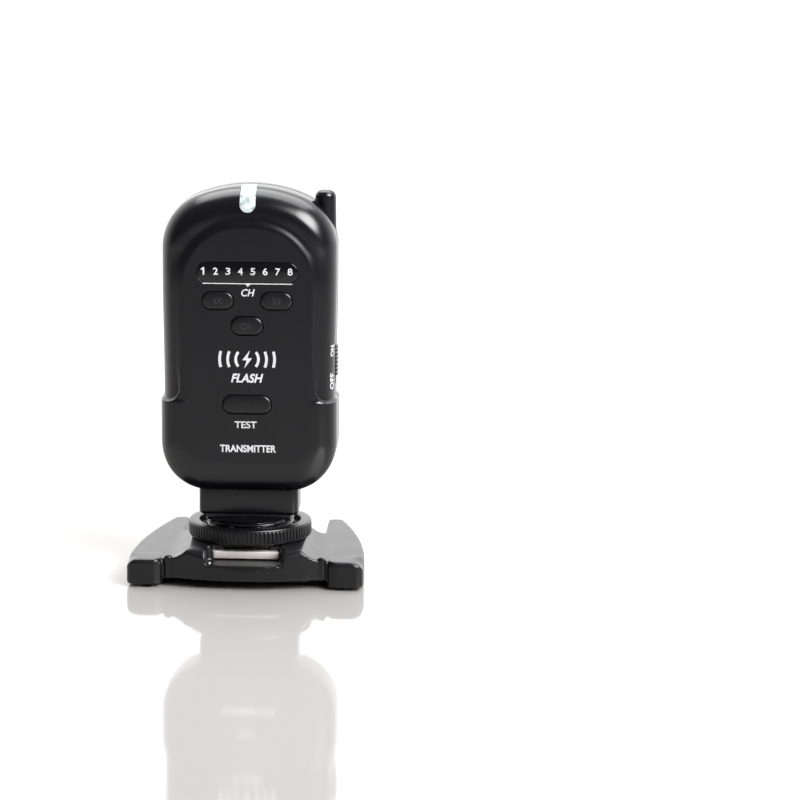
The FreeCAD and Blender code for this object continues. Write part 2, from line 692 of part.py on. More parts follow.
def foot_block():
    neck = rounded_plate(0, 0, NECK_HALF_WIDTH, NECK_HALF_DEPTH, 1.5, NECK_BOTTOM, CASE_BOTTOM + 2.2)
    web = box(-BARREL_HALF_WIDTH, BARREL_HALF_WIDTH, -NECK_HALF_DEPTH, NECK_HALF_DEPTH,
              CASE_BOTTOM + 1, HINGE_Z)
    barrel = rod(NECK_HALF_DEPTH, V(-BARREL_HALF_WIDTH, 0, HINGE_Z), X_AXIS, 2 * BARREL_HALF_WIDTH)
    stem = rod(STEM_R, V(0, 0, STEM_BOTTOM), Z_AXIS, STEM_TOP - STEM_BOTTOM)
    collar = box(-COLLAR_HALF_WIDTH, COLLAR_HALF_WIDTH, -COLLAR_HALF_DEPTH, COLLAR_HALF_DEPTH,
                 STEM_TOP - 0.5, NECK_BOTTOM + 0.5)
    plate_top = PLATE_Z + PLATE_THICKNESS
    pedestal = rod(STEM_R, V(0, 0, plate_top), Z_AXIS, STEM_BOTTOM - plate_top)
    pedestal = pedestal.common(box(-PEDESTAL_HALF_WIDTH, PEDESTAL_HALF_WIDTH, -20, PLATE_BACK_Y, 0, 20))
    block = fuse([neck, web, barrel, stem, collar, pedestal])
    sockets = []
    for side in (-1, 1):
        sockets.append(rod(HINGE_PIN_R + RUNNING_GAP, V(side * (PIN_INNER_X - 0.2), 0, HINGE_Z),
                           V(side, 0, 0), 10))
    sockets.append(rod(1.0, V(0, 0, HINGE_Z), X_AXIS, PIN_INNER_X))
    sockets.append(box(-1.2, 1.2, CONTACT_Y - 1.2, 1.2, CARRIER_SOCKET_TOP, HINGE_Z + 1.2))
    sockets.append(rod(CARRIER_R, V(0, CONTACT_Y, PLATE_Z), Z_AXIS, CARRIER_SOCKET_TOP - PLATE_Z))
    flat = box(STEM_R - STEM_FLAT, STEM_R + 1, -20, 20, STEM_BOTTOM - 0.1,
               RING_Z + WASHER_THICKNESS + RING_LIFT + 0.2)
    flats = both_sides(flat)
    return block.cut(Part.makeCompound(sockets + flats)).cut(foot_screw_seats())


def foot_plate():
    middle = (PLATE_FRONT_Y + PLATE_BACK_Y) / 2
    half_length = (PLATE_BACK_Y - PLATE_FRONT_Y) / 2
    plate = rounded_plate(0, middle, PLATE_HALF_WIDTH, half_length, 0.8, PLATE_Z, PLATE_Z + PLATE_THICKNESS)
    hole = rod(CONTACT_HOLE_R, V(0, CONTACT_Y, PLATE_Z - 1), Z_AXIS, 4)
    return plate.cut(hole).cut(foot_screw_seats())


def contact_carrier():
    disc = rod(CONTACT_HOLE_R - 0.02, V(0, CONTACT_Y, PLATE_Z + 0.02), Z_AXIS, PLATE_THICKNESS - 0.04)
    post = rod(CARRIER_R - 0.02, V(0, CONTACT_Y, PLATE_Z + 1), Z_AXIS, CARRIER_SOCKET_TOP - 1 - PLATE_Z)
    bore = rod(1.75, V(0, CONTACT_Y, PLATE_Z + 1.2), Z_AXIS, 11.9 - PLATE_Z)
    mouth = rod(1.05, V(0, CONTACT_Y, PLATE_Z - 1), Z_AXIS, 12)
    lead_hole = rod(0.7, V(0, CONTACT_Y, PLATE_Z), Z_AXIS, 20)
    return fuse([disc, post]).cut(Part.makeCompound([bore, mouth, lead_hole]))


def contact_pin():
    tip = rod(1.0, V(0, CONTACT_Y, PLATE_Z - 0.25), Z_AXIS, 2.6)
    tip = tip.makeFillet(0.3, [edge for edge in tip.Edges if edge.CenterOfMass.z < PLATE_Z - 0.2])
    flange = rod(1.65, V(0, CONTACT_Y, PLATE_Z + 1.25), Z_AXIS, 0.5)
    return fuse([tip, flange])


def contact_spring():
    return coil(0, CONTACT_Y, PLATE_Z + 2.02, 1.35, 0.23, 0.75, 2.12)


def foot_leads():
    points = [V(PIN_INNER_X - 0.2, 0, HINGE_Z), V(0, 0, HINGE_Z), V(0, 0, 22.5),
              V(0, CONTACT_Y, 19.0), V(0, CONTACT_Y, PLATE_Z + 4.7)]
    return lead(points, 1.3, 0.45)


def hinge_pins():
    """Two hollow stub pins, pressed in the case's cheeks and turning in the neck's barrel."""
    pin = tube_ring(HINGE_PIN_R, 0.9, V(PIN_INNER_X, 0, HINGE_Z), X_AXIS, PIN_OUTER_X - PIN_INNER_X)
    return Part.makeCompound(both_sides(pin))


def hinge_washers():
    washer = tube_ring(3.6, HINGE_PIN_R + RUNNING_GAP, V(BARREL_HALF_WIDTH + 0.05, 0, HINGE_Z), X_AXIS, 0.6)
    return Part.makeCompound(both_sides(washer))


def ring_washer():
    disc = tube_ring(15.0, STEM_R + 0.06, V(0, 0, RING_Z), Z_AXIS, WASHER_THICKNESS)
    key_x = STEM_R - STEM_FLAT + 0.15
    keys = both_sides(box(key_x, STEM_R + 0.9, -3.0, 3.0, RING_Z, RING_Z + WASHER_THICKNESS))
    return fuse([disc] + keys)


def ribbed_outline(z):
    """The knurl as a closed outline: square ribs round the ring."""
    points = []
    step = 2 * math.pi / RING_RIBS
    for rib in range(RING_RIBS):
        for share, radius in ((0.0, RING_R), (0.5, RING_R), (0.5, RING_R - 0.3), (1.0, RING_R - 0.3)):
            angle = step * (rib + share)
            points.append(V(radius * math.cos(angle), radius * math.sin(angle), z))
    points.append(points[0])
    return Part.makePolygon(points)


def lock_ring():
    top = RING_Z + RING_HEIGHT
    core = rod(RING_R - 0.15, V(0, 0, RING_Z), Z_AXIS, RING_HEIGHT)
    core = core.makeChamfer(0.3, [edge for edge in core.Edges if len(edge.Vertexes) == 1])
    knurl = Part.Face(ribbed_outline(RING_Z + 0.8)).extrude(V(0, 0, RING_HEIGHT - 1.6))
    bore = rod(STEM_R + 0.06, V(0, 0, 0), Z_AXIS, 30)
    counterbore = rod(14.0, V(0, 0, top - 2.4), Z_AXIS, 5)
    washer_seat = rod(15.1, V(0, 0, RING_Z - 1), Z_AXIS, 1 + WASHER_THICKNESS + 0.05)
    return fuse([core, knurl]).cut(Part.makeCompound([counterbore, washer_seat])).cut(bore)


# ---------------------------------------------------------------- stand

def stand_outline(z):
    """Plan of the stand: bowed front, straight-sided feet, tapering wings, horns round a notch."""
    half = STAND_HALF_WIDTH
    foot_x = FOOT_INNER_X
    foot_y = FOOT_FRONT_Y
    wall_y = foot_y + 1.6
    inner = NOTCH_HALF_WIDTH

    def at(sign, x, y):
        return V(sign * x, y, z)

    def side(sign):
        return [
            line(at(sign, foot_x, wall_y), at(sign, foot_x, foot_y)),
            line(at(sign, foot_x, foot_y), at(sign, half - 2, foot_y)),
            arc(at(sign, half - 2, foot_y), at(sign, half - 0.6, foot_y + 0.6), at(sign, half, foot_y + 2)),
            arc(at(sign, half, foot_y + 2), at(sign, 30.7, 5.5), at(sign, 25.2, 30.5)),
            arc(at(sign, 25.2, 30.5), at(sign, HORN_TIP_X + 0.4, STAND_BACK_Y), at(sign, inner, 30.9)),
            line(at(sign, inner, 30.9), at(sign, inner, PLATFORM_BACK_Y + 3)),
            arc(at(sign, inner, PLATFORM_BACK_Y + 3), at(sign, inner - 0.9, PLATFORM_BACK_Y + 0.9),
                at(sign, inner - 3, PLATFORM_BACK_Y)),
        ]

    front = arc(at(-1, foot_x, wall_y), at(1, 0, STAND_FRONT_Y), at(1, foot_x, wall_y))
    back = line(at(-1, inner - 3, PLATFORM_BACK_Y), at(1, inner - 3, PLATFORM_BACK_Y))
    return Part.Wire(Part.__sortEdges__(side(1) + side(-1) + [front, back]))


def stand_profile():
    """The stand from the front: flat platform, hollow flanks, low wings."""
    far = STAND_HALF_WIDTH + 2
    y = STAND_FRONT_Y - 2

    def at(sign, x, z):
        return V(sign * x, y, z)

    def flank(sign):
        return [
            line(at(sign, far, 0), at(sign, far, WING_Z - 0.5)),
            line(at(sign, far, WING_Z - 0.5), at(sign, 22.6, WING_Z)),
            arc(at(sign, 22.6, WING_Z), at(sign, 18.4, 8.8), at(sign, PLATFORM_HALF_WIDTH, PLATFORM_Z)),
        ]

    top = line(at(-1, PLATFORM_HALF_WIDTH, PLATFORM_Z), at(1, PLATFORM_HALF_WIDTH, PLATFORM_Z))
    bottom = line(at(-1, far, 0), at(1, far, 0))
    outline = Part.Wire(Part.__sortEdges__(flank(1) + flank(-1) + [top, bottom]))
    return Part.Face(outline).extrude(V(0, 62, 0))


def front_lean():
    """What the sloping top of the front wall takes off."""
    y = STAND_FRONT_Y
    edges = [
        line(V(-40, y - 2, 4.5), V(-40, y, 4.5)),
        arc(V(-40, y, 4.5), V(-40, y + 0.8, 8.4), V(-40, y + 3.0, PLATFORM_Z + 0.3)),
        line(V(-40, y + 3.0, PLATFORM_Z + 0.3), V(-40, y - 2, PLATFORM_Z + 0.3)),
        line(V(-40, y - 2, PLATFORM_Z + 0.3), V(-40, y - 2, 4.5)),
    ]
    return extrude(edges, V(80, 0, 0))


def shoe_slot():
    """T-shaped way for the foot, open to the front, with a flared mouth."""
    front = STAND_FRONT_Y - 2
    channel = box(-SLOT_HALF_WIDTH, SLOT_HALF_WIDTH, front, SLOT_BACK_Y, SLOT_FLOOR, RAIL_UNDERSIDE)
    gap = box(-RAIL_GAP_HALF_WIDTH, RAIL_GAP_HALF_WIDTH, front, SLOT_BACK_Y, SLOT_FLOOR, 20)
    mouth = box(-10.6, 10.6, front, PLATE_FRONT_Y - 1.2, SLOT_FLOOR, 20)
    return fuse([channel, gap, mouth])


def underside_cells():
    """Cored pockets between ribs, open below."""
    cells = []
    pitch = 10.4
    half = 4.5
    for column in range(-2, 3):
        for row in range(3):
            x = column * pitch
            y = -13.6 + row * pitch
            if column or row != 1:
                cells.append(box(x - half, x + half, y - half, y + half, 0, 5.0))
    for side in (-1, 1):
        cells.append(box(side * 23.6 - 2.1, side * 23.6 + 2.1, 15.5, 22.5, 0, 5.6))
    return Part.makeCompound(cells)


def stand_base():
    block = Part.Face(stand_outline(STAND_BOTTOM)).extrude(V(0, 0, 14))
    block = block.common(stand_profile())
    block = block.cut(front_lean())
    caps = []
    for side in (-1, 1):
        x0, x1 = sorted((side * FOOT_INNER_X, side * (STAND_HALF_WIDTH + 1.1)))
        caps.append(box(x0, x1, -22, -17.6, 6.9, 12))
    block = block.cut(Part.makeCompound(caps))
    block = block.cut(box(-22.7, 22.7, -30, -12, 0, WALL_BOTTOM))
    block = block.cut(shoe_slot())
    block = block.cut(underside_cells())
    block = block.cut(rod(4.0, V(0, 0, 0), Z_AXIS, 6.0))
    sockets = [rod(PAD_R, V(x, y, 0), Z_AXIS, 2.0) for x, y in PAD_SPOTS]
    return block.cut(Part.makeCompound(sockets))


def stand_pads():
    return Part.makeCompound([rod(PAD_R - 0.02, V(x, y, 0), Z_AXIS, 1.98) for x, y in PAD_SPOTS])


def tripod_bush():
    """Brass insert, hole at the tap's minor diameter."""
    body = rod(3.98, V(0, 0, STAND_BOTTOM), Z_AXIS, 5.18)
    return body.cut(rod(BUSH_HOLE_R, V(0, 0, 0), Z_AXIS, STAND_BOTTOM + BUSH_LENGTH))


# ---------------------------------------------------------------- write

def build():
    outside = case_outside()
    inside = case_inside()
    nodes = {
        "stand_base": stand_base(),
        "stand_pads": stand_pads(),
        "tripod_bush": tripod_bush(),
        "foot_block": foot_block(),
        "foot_plate": foot_plate(),
        "contact_carrier": contact_carrier(),
        "contact_pin": contact_pin(),
        "contact_spring": contact_spring(),
        "foot_screws": foot_screws(),
        "foot_leads": foot_leads(),
        "ring_washer": ring_washer(),
        "lock_ring": lock_ring(),
        "front_shell": front_shell(outside, inside),
        "rear_shell": rear_shell(outside, inside),
        "battery_door": battery_door(),
        "channel_window": channel_window(),
        "status_lens": status_lens(outside),
        "antenna_cap": antenna_cap(),
        "antenna_coil": antenna_coil(),
        "power_slider": power_slider(),
        "switch_actuator": switch_actuator(),
        "slide_switch": slide_switch(),
        "tact_switches": tact_switches(),
        "main_board": main_board(),
        "radio_board": radio_board(),
        "radio_can": radio_can(),
        "radio_chip": radio_chip(),
        "processor_chip": processor_chip(),
        "crystal": crystal(),
        "capacitors": capacitors(),
        "channel_leds": channel_leds(),
        "status_led": status_led(),
        "battery_tray": battery_tray(),
        "battery_left": battery(-1),
        "battery_right": battery(1),
        "battery_springs": battery_springs(),
        "battery_plates": battery_plates(),
        "battery_leads": battery_leads(),
        "board_leads": board_leads(),
        "hinge_pins": hinge_pins(),
        "hinge_washers": hinge_washers(),
        "board_screws": board_screws(),
        "case_screws": case_screws(),
    }
    for name, x, z, width, height in KEYS:
        nodes[name] = key(x, z, width, height)
    return nodes


def main():
    os.makedirs("parts", exist_ok=True)
    for name, shape in build().items():
        placed = shape.translated(V(0, AXIS_Y, 0))
        placed.exportStep("parts/" + name + ".step")
        print(name, len(placed.Solids), round(placed.Volume, 2), placed.isValid())


main()
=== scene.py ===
"""The looks of the wireless flash trigger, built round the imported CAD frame.

The outer surfaces are worked out in millimetres about the lock ring's axis, as in the design, and are
moved into the row frame when a mesh is made.
"""
import math

import bmesh
import bpy
import numpy as np
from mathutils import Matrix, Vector


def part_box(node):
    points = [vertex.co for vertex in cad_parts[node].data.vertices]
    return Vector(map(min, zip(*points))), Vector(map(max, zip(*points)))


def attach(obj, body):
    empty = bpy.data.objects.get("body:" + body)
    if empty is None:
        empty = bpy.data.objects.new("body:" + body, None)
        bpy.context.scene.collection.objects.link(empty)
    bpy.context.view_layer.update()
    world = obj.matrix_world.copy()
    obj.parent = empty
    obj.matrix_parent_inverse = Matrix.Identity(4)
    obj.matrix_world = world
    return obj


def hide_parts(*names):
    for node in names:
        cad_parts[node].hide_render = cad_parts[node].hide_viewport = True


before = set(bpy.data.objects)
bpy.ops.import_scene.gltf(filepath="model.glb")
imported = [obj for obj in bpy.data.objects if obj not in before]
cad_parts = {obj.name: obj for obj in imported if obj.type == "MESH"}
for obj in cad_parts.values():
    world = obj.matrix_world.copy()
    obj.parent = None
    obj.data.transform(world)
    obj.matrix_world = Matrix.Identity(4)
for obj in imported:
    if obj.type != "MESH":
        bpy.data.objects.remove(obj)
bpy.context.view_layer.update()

MM = 0.001


def node_box(node):
    """A CAD node's lowest and highest corners in millimetres, in the row frame."""
    low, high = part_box(node)
    return np.array(low) / MM, np.array(high) / MM


RING_LOW, RING_HIGH = node_box("lock_ring")
AXIS_Y = float(RING_LOW[1] + RING_HIGH[1]) / 2
SHELL_LOW, SHELL_HIGH = node_box("front_shell")
REAR_HIGH = node_box("rear_shell")[1]
BLOCK_LOW = node_box("foot_block")[0]
BLOCK_TO_CASE = 15.35

# Case, in millimetres about the ring's axis
HALF_WIDTH = float(SHELL_HIGH[0])
SHOULDER_STEP = 0.3
WAIST = 0.45
FACE_Y = float(SHELL_LOW[1]) - AXIS_Y
BACK_Y = float(REAR_HIGH[1]) - AXIS_Y
SEAM_Y = float(SHELL_HIGH[1]) - AXIS_Y
CASE_TOP = float(SHELL_HIGH[2])
CASE_BOTTOM = float(BLOCK_LOW[2]) + BLOCK_TO_CASE
SHOULDER_Z = 49.6
WALL = 1.8
TOP_CORNER_R = 15.1
LOW_CORNER_R = 13.7
CROWN_R = 38.5
BAND_Y = FACE_Y + 0.22
PANEL_HALF_WIDTH = 18.6
PANEL_TOP = CASE_TOP - 9.2
PANEL_CORNER_R = 17.0
LIP_R = 4.0
HINGE_Z = 31.0


# ------------------------------------------------------------------ meshes

def to_row(points):
    """Millimetres about the ring's axis to metres in the row frame."""
    return (np.asarray(points, float) + (0.0, AXIS_Y, 0.0)) * MM


def mesh_object(name, points, faces, smooth_angle=38):
    mesh = bpy.data.meshes.new(name)
    mesh.from_pydata([tuple(p) for p in to_row(points)], [], [tuple(f) for f in faces])
    mesh.validate()
    thing = bpy.data.objects.new(name, mesh)
    bpy.context.scene.collection.objects.link(thing)
    tidy(thing, smooth_angle)
    return thing


def tidy(thing, smooth_angle=38):
    """Merges doubled points, turns faces outward and smooths everything but real edges."""
    work = bmesh.new()
    work.from_mesh(thing.data)
    bmesh.ops.remove_doubles(work, verts=work.verts, dist=1e-7)
    bmesh.ops.dissolve_degenerate(work, edges=work.edges, dist=1e-8)
    bmesh.ops.recalc_face_normals(work, faces=work.faces)
    work.to_mesh(thing.data)
    work.free()
    thing.data.polygons.foreach_set("use_smooth", [True] * len(thing.data.polygons))
    thing.data.set_sharp_from_angle(angle=math.radians(smooth_angle))


def skin(rings, closed_path=False):
    """Faces over rings of equal count; an open stack of rings is capped at both ends."""
    count = len(rings[0])
    points = np.concatenate(rings)
    faces = []
    spans = len(rings) if closed_path else len(rings) - 1
    for ring in range(spans):
        here = ring * count
        there = ((ring + 1) % len(rings)) * count
        for i in range(count):
            j = (i + 1) % count
            faces.append((here + i, here + j, there + j, there + i))
    if not closed_path:
        faces.append(tuple(range(count))[::-1])
        faces.append(tuple(range((len(rings) - 1) * count, len(rings) * count)))
    return points, faces


def joined(name, things, smooth_angle=38):
    """Several meshes as one object."""
    work = bmesh.new()
    for thing in things:
        work.from_mesh(thing.data)
    mesh = bpy.data.meshes.new(name)
    work.to_mesh(mesh)
    work.free()
    for thing in things:
        bpy.data.objects.remove(thing)
    whole = bpy.data.objects.new(name, mesh)
    bpy.context.scene.collection.objects.link(whole)
    mesh.polygons.foreach_set("use_smooth", [True] * len(mesh.polygons))
    mesh.set_sharp_from_angle(angle=math.radians(smooth_angle))
    return whole


def apply_modifiers(thing):
    """Replaces a mesh by what its modifiers make of it."""
    graph = bpy.context.evaluated_depsgraph_get()
    made = bpy.data.meshes.new_from_object(thing.evaluated_get(graph))
    thing.modifiers.clear()
    old = thing.data
    thing.data = made
    bpy.data.meshes.remove(old)


def boolean(thing, cutters, operation="DIFFERENCE"):
    for cutter in cutters:
        step = thing.modifiers.new("cut", "BOOLEAN")
        step.operation = operation
        step.solver = "EXACT"
        step.object = cutter
    apply_modifiers(thing)
    for cutter in cutters:
        bpy.data.objects.remove(cutter)
    tidy(thing)


# ------------------------------------------------------------------ outlines

def pill_loop(width, height, grow=0.0, count=48):
    """A flat-sided oval in x and z round its own middle."""
    radius = height / 2
    reach = width / 2 - radius
    angles = (np.arange(count) + 0.5) / count * 2 * math.pi
    x = (radius + grow) * np.cos(angles) + reach * np.sign(np.cos(angles))
    z = (radius + grow) * np.sin(angles)
    return np.stack([x, z], 1)


def face_rings(loops, x, z):
    """Loops of (x, z), each with its y, as rings of points."""
    return [np.stack([loop[:, 0] + x, np.full(len(loop), y), loop[:, 1] + z], 1) for loop, y in loops]


def pill_prism(name, x, z, width, height, levels):
    """A pill whose size changes with depth: levels are (y, grow)."""
    rings = face_rings([(pill_loop(width, height, grow), y) for y, grow in levels], x, z)
    return mesh_object(name, *skin(rings))


def turned(profile, count, centre=(0.0, 0.0)):
    """Rings round the Z axis for a profile of (radius, z)."""
    angles = np.arange(count) / count * 2 * math.pi
    return [np.stack([centre[0] + r * np.cos(angles), centre[1] + r * np.sin(angles),
                      np.full(count, z)], 1) for r, z in profile]


def cylinder_y(name, x, z, radius, y0, y1, count=40):
    angles = np.arange(count) / count * 2 * math.pi
    loop = np.stack([radius * np.cos(angles), radius * np.sin(angles)], 1)
    return mesh_object(name, *skin(face_rings([(loop, y0), (loop, y1)], x, z)))


def block(name, low, high):
    """A plain block, used only to cut."""
    x0, y0, z0 = low
    x1, y1, z1 = high
    ring = lambda z: np.array([(x0, y0, z), (x1, y0, z), (x1, y1, z), (x0, y1, z)], float)
    return mesh_object(name, *skin([ring(z0), ring(z1)]))


# ------------------------------------------------------------------ case surface

def smooth_step(t):
    t = np.clip(t, 0.0, 1.0)
    return t * t * (3 - 2 * t)


CROWN_Z = CASE_TOP - CROWN_R
TOP_CORNER_X = HALF_WIDTH - SHOULDER_STEP - TOP_CORNER_R
TOP_CORNER_Z = CROWN_Z + math.sqrt((CROWN_R - TOP_CORNER_R) ** 2 - TOP_CORNER_X ** 2)
TOP_LEAN = math.atan2(TOP_CORNER_X, TOP_CORNER_Z - CROWN_Z)
LOW_CORNER_X = HALF_WIDTH - LOW_CORNER_R
LOW_CORNER_Z = CASE_BOTTOM + LOW_CORNER_R


def half_width(z):
    """The case is narrower above its shoulder, most of all just above it."""
    waist = WAIST * (1 - smooth_step((z - 52.0) / 34.0))
    return HALF_WIDTH - (SHOULDER_STEP + waist) * smooth_step((z - SHOULDER_Z) / 0.8)


def case_outline(count):
    """Points round the case, evenly spaced, from the front: (x, z) and the outward direction."""
    quarter = math.pi / 2
    walk = []

    def sweep(cx, cz, radius, start, stop, steps=400):
        for angle in np.linspace(start, stop, steps, endpoint=False):
            walk.append((cx + radius * math.sin(angle), cz + radius * math.cos(angle)))

    sweep(0, CROWN_Z, CROWN_R, 0, TOP_LEAN)
    sweep(TOP_CORNER_X, TOP_CORNER_Z, TOP_CORNER_R, TOP_LEAN, quarter)
    for z in np.linspace(TOP_CORNER_Z, LOW_CORNER_Z, 800, endpoint=False):
        walk.append((float(half_width(z)), z))
    sweep(LOW_CORNER_X, LOW_CORNER_Z, LOW_CORNER_R, quarter, 2 * quarter)
    right = np.array(walk + [(0.0, CASE_BOTTOM)])
    left = right[::-1] * (-1, 1)
    loop = np.concatenate([right, left[1:-1]])
    closed = np.concatenate([loop, loop[:1]])
    run = np.concatenate([[0], np.cumsum(np.linalg.norm(np.diff(closed, axis=0), axis=1))])
    where = np.arange(count) / count * run[-1]
    points = np.stack([np.interp(where, run, closed[:, k]) for k in (0, 1)], 1)
    ahead = np.roll(points, -1, 0) - np.roll(points, 1, 0)
    outward = np.stack([-ahead[:, 1], ahead[:, 0]], 1) * -1
    outward *= np.sign(np.sum(outward * (points - (0, (CASE_TOP + CASE_BOTTOM) / 2)), 1))[:, None]
    outward /= np.linalg.norm(outward, axis=1)[:, None]
    straight = (points[:, 1] > LOW_CORNER_Z) & (points[:, 1] < TOP_CORNER_Z)
    outward[straight] = np.stack([np.sign(points[straight, 0]), np.zeros(straight.sum())], 1)
    return points, outward


def edge_distance(x, z):
    """How far inside the case's outline a point of the face is."""
    x = np.abs(x)
    sides = half_width(z) - x
    crown = np.where(z > CROWN_Z, CROWN_R - np.hypot(x, z - CROWN_Z), 99.0)
    across, above = x - TOP_CORNER_X, z - TOP_CORNER_Z
    in_corner = (above > 0) & (across * math.cos(TOP_LEAN) > above * math.sin(TOP_LEAN))
    top = np.where(in_corner, TOP_CORNER_R - np.hypot(across, above), 99.0)
    low = np.where((x > LOW_CORNER_X) & (z < LOW_CORNER_Z),
                   LOW_CORNER_R - np.hypot(x - LOW_CORNER_X, z - LOW_CORNER_Z), 99.0)
    return np.minimum.reduce([sides, crown, z - CASE_BOTTOM, top, low])


def panel_distance(x, z):
    """Signed distance to the raised panel's outline, negative on the panel."""
    across = np.abs(x) - PANEL_HALF_WIDTH
    above = z - PANEL_TOP
    corner_x = across + PANEL_CORNER_R
    corner_z = above + PANEL_CORNER_R
    in_corner = (corner_x > 0) & (corner_z > 0)
    rounded = np.where(in_corner, np.hypot(corner_x, corner_z) - PANEL_CORNER_R, np.maximum(across, above))
    low = z - SHOULDER_Z
    near = (across < LIP_R) & (low < LIP_R)
    lip = LIP_R - np.hypot(LIP_R - across, LIP_R - low)
    return np.where(near, np.minimum(lip, rounded), np.minimum(rounded, np.where(low < 0, low, 99.0)))


def roll(distance, radius, power, depth=None):
    """How far the surface has fallen back from its plane at this distance inside the edge."""
    share = np.clip(1 - distance / radius, 0, 1)
    return (radius if depth is None else depth) * (1 - (1 - share ** power) ** (1 / power))


def front_y(x, z, grow=0.0):
    """The front surface: a raised panel over a rolled, scooped band."""
    inside = np.maximum(edge_distance(x, z), 0.0)
    middle = (CASE_TOP + CASE_BOTTOM) / 2
    crown = 0.30 * (x / HALF_WIDTH) ** 2 + 0.25 * ((z - middle) / (CASE_TOP - middle)) ** 2
    chin = smooth_step((LOW_CORNER_Z - z) / 11)
    panel = FACE_Y + crown + roll(inside, 7.0 + 3.5 * chin, 2.1, 7.0 - 2.6 * chin)
    side = panel_distance(x, z)
    scoop = 0.55 * smooth_step((z - 80) / 12) * smooth_step(1 - (side - 1.5) / 4)
    band = BAND_Y + crown + roll(inside, 8.0, 1.88) + scoop
    width = 0.5 + 2.1 * smooth_step((z - 53) / 8)
    raised = smooth_step(0.5 - side / width)
    return band + (panel - band) * raised - grow


def back_y(x, z):
    inside = np.maximum(edge_distance(x, z), 0.0)
    return BACK_Y - roll(inside, 5.0, 2.1) - 0.2 * (x / HALF_WIDTH) ** 2


OUTLINE_COUNT = 800
RING_STEP = 0.31
OUTLINE, OUTWARD = case_outline(OUTLINE_COUNT)
SPINE_LOW = CASE_BOTTOM + 22
SPINE_HIGH = CASE_TOP - 24
INSET_END = 12.0


def inset_loop(distance):
    return OUTLINE - OUTWARD * distance


def inner_loop(distance, share):
    """Between an even inset and the middle line."""
    start = inset_loop(distance)
    spine = np.stack([np.zeros(OUTLINE_COUNT), np.clip(start[:, 1], SPINE_LOW, SPINE_HIGH)], 1)
    return start + (spine - start) * share


def loop_ring(loop, y):
    return np.stack([loop[:, 0], np.broadcast_to(y, len(loop)), loop[:, 1]], 1)


def shell_side(surface, seam, step, inner_plane, inner_r):
    """One hollow half of the case: its outside from the middle out to the seam, then its inside back."""
    fine = [0.0, 0.03, 0.1, 0.2, 0.34, 0.52, 0.74, 1.0, 1.28, 1.58, 1.9, 2.2, 2.5, 2.8]
    fine += list(np.arange(3.1, INSET_END + 0.01, RING_STEP))
    rings = []
    for share in np.linspace(1.0, 0.045, 22):
        loop = inner_loop(fine[-1], share)
        rings.append(loop_ring(loop, surface(loop[:, 0], loop[:, 1])))
    for distance in reversed(fine):
        loop = inset_loop(distance)
        rings.append(loop_ring(loop, surface(loop[:, 0], loop[:, 1])))
    edge = rings[-1][:, 1]
    lip = seam - step * 0.22
    for share in (0.3, 0.65, 1.0):
        rings.append(loop_ring(OUTLINE, edge + (lip - edge) * share))
    rings.append(loop_ring(inset_loop(0.10), seam - step * 0.06))
    rings.append(loop_ring(inset_loop(WALL), seam - step * 0.06))
    for distance in (2.0, 2.5, 3.2, 4.2, 5.6, 8.2, INSET_END):
        loop = inset_loop(distance)
        rings.append(loop_ring(loop, inner_plane + step * roll(distance - WALL, inner_r, 2.0)))
    for share in (0.35, 0.7, 1.0):
        rings.append(loop_ring(inner_loop(INSET_END, share), inner_plane))
    points, faces = skin(rings)
    return points, faces[:-2]


def front_solid(proud):
    """The front half without its hollow, a little larger, from which the lens is cut."""
    fine = [0.0, 0.05, 0.15, 0.3, 0.5, 0.8, 1.2, 1.6, 2.1, 2.6, 3.2, 3.8, 4.4, 5.0, 5.6, 6.2, 6.8, 7.4, 8.2]
    rings = []
    for share in np.linspace(1.0, 0.1, 6):
        loop = inner_loop(fine[-1], share)
        rings.append(loop_ring(loop, surface_out(loop, proud)))
    for distance in reversed(fine):
        loop = OUTLINE - OUTWARD * (distance - proud)
        rings.append(loop_ring(loop, surface_out(inset_loop(distance), proud)))
    rings.append(loop_ring(OUTLINE + OUTWARD * proud, SEAM_Y))
    rings.append(loop_ring(inner_loop(fine[-1], 1.0), SEAM_Y))
    points, faces = skin(rings)
    return points, faces[:-2]


def surface_out(loop, proud):
    return front_y(loop[:, 0], loop[:, 1]) - proud


# ------------------------------------------------------------------ case pieces

TURN = np.linspace(0, 2 * math.pi, 32, endpoint=False)
KEYS = (
    ("button_previous", -8.0, 78.0, 8.7, 4.95),
    ("button_next", 8.0, 78.0, 8.7, 4.95),
    ("button_set", 0.0, 71.1, 8.7, 5.1),
    ("button_test", 0.0, 49.35, 13.4, 5.2),
)
KEY_GAP = 0.09
KEY_FRONT = FACE_Y - 0.42
CHANNEL_Z = 85.7
CHANNEL_WIDTH = 27.8
CHANNEL_HEIGHT = 5.8
WINDOW_FRONT = FACE_Y + 0.15
LENS_BOTTOM = 102.0
LENS_HALF_WIDTH = 2.2
ANTENNA = (20.4, 3.6)
SLIDER_Y = -0.4
SLIDER_Z = 60.4
DOOR_HALF_WIDTH = 12.6
DOOR_BOTTOM = 42.4
DOOR_TOP = 93.0
SCREW_SPOTS = ((-20.1, 86.0), (15.0, 97.5), (-20.4, 41.5), (20.4, 41.5))


def flared_pill(name, x, z, width, height, gap, surface, deep, chamfer):
    """A cutter for a pill-shaped hole with a small chamfer at the surface."""
    levels = [(surface - 1.2, gap + chamfer + 1.2), (surface + chamfer, gap), (deep, gap)]
    return pill_prism(name, x, z, width, height, levels)


def side_prism(name, half_width, corners):
    """A prism along x from corners in (y, z)."""
    corners = np.array(corners, float)
    rings = [np.stack([np.full(len(corners), x), corners[:, 0], corners[:, 1]], 1)
             for x in (-half_width, half_width)]
    return mesh_object(name, *skin(rings))


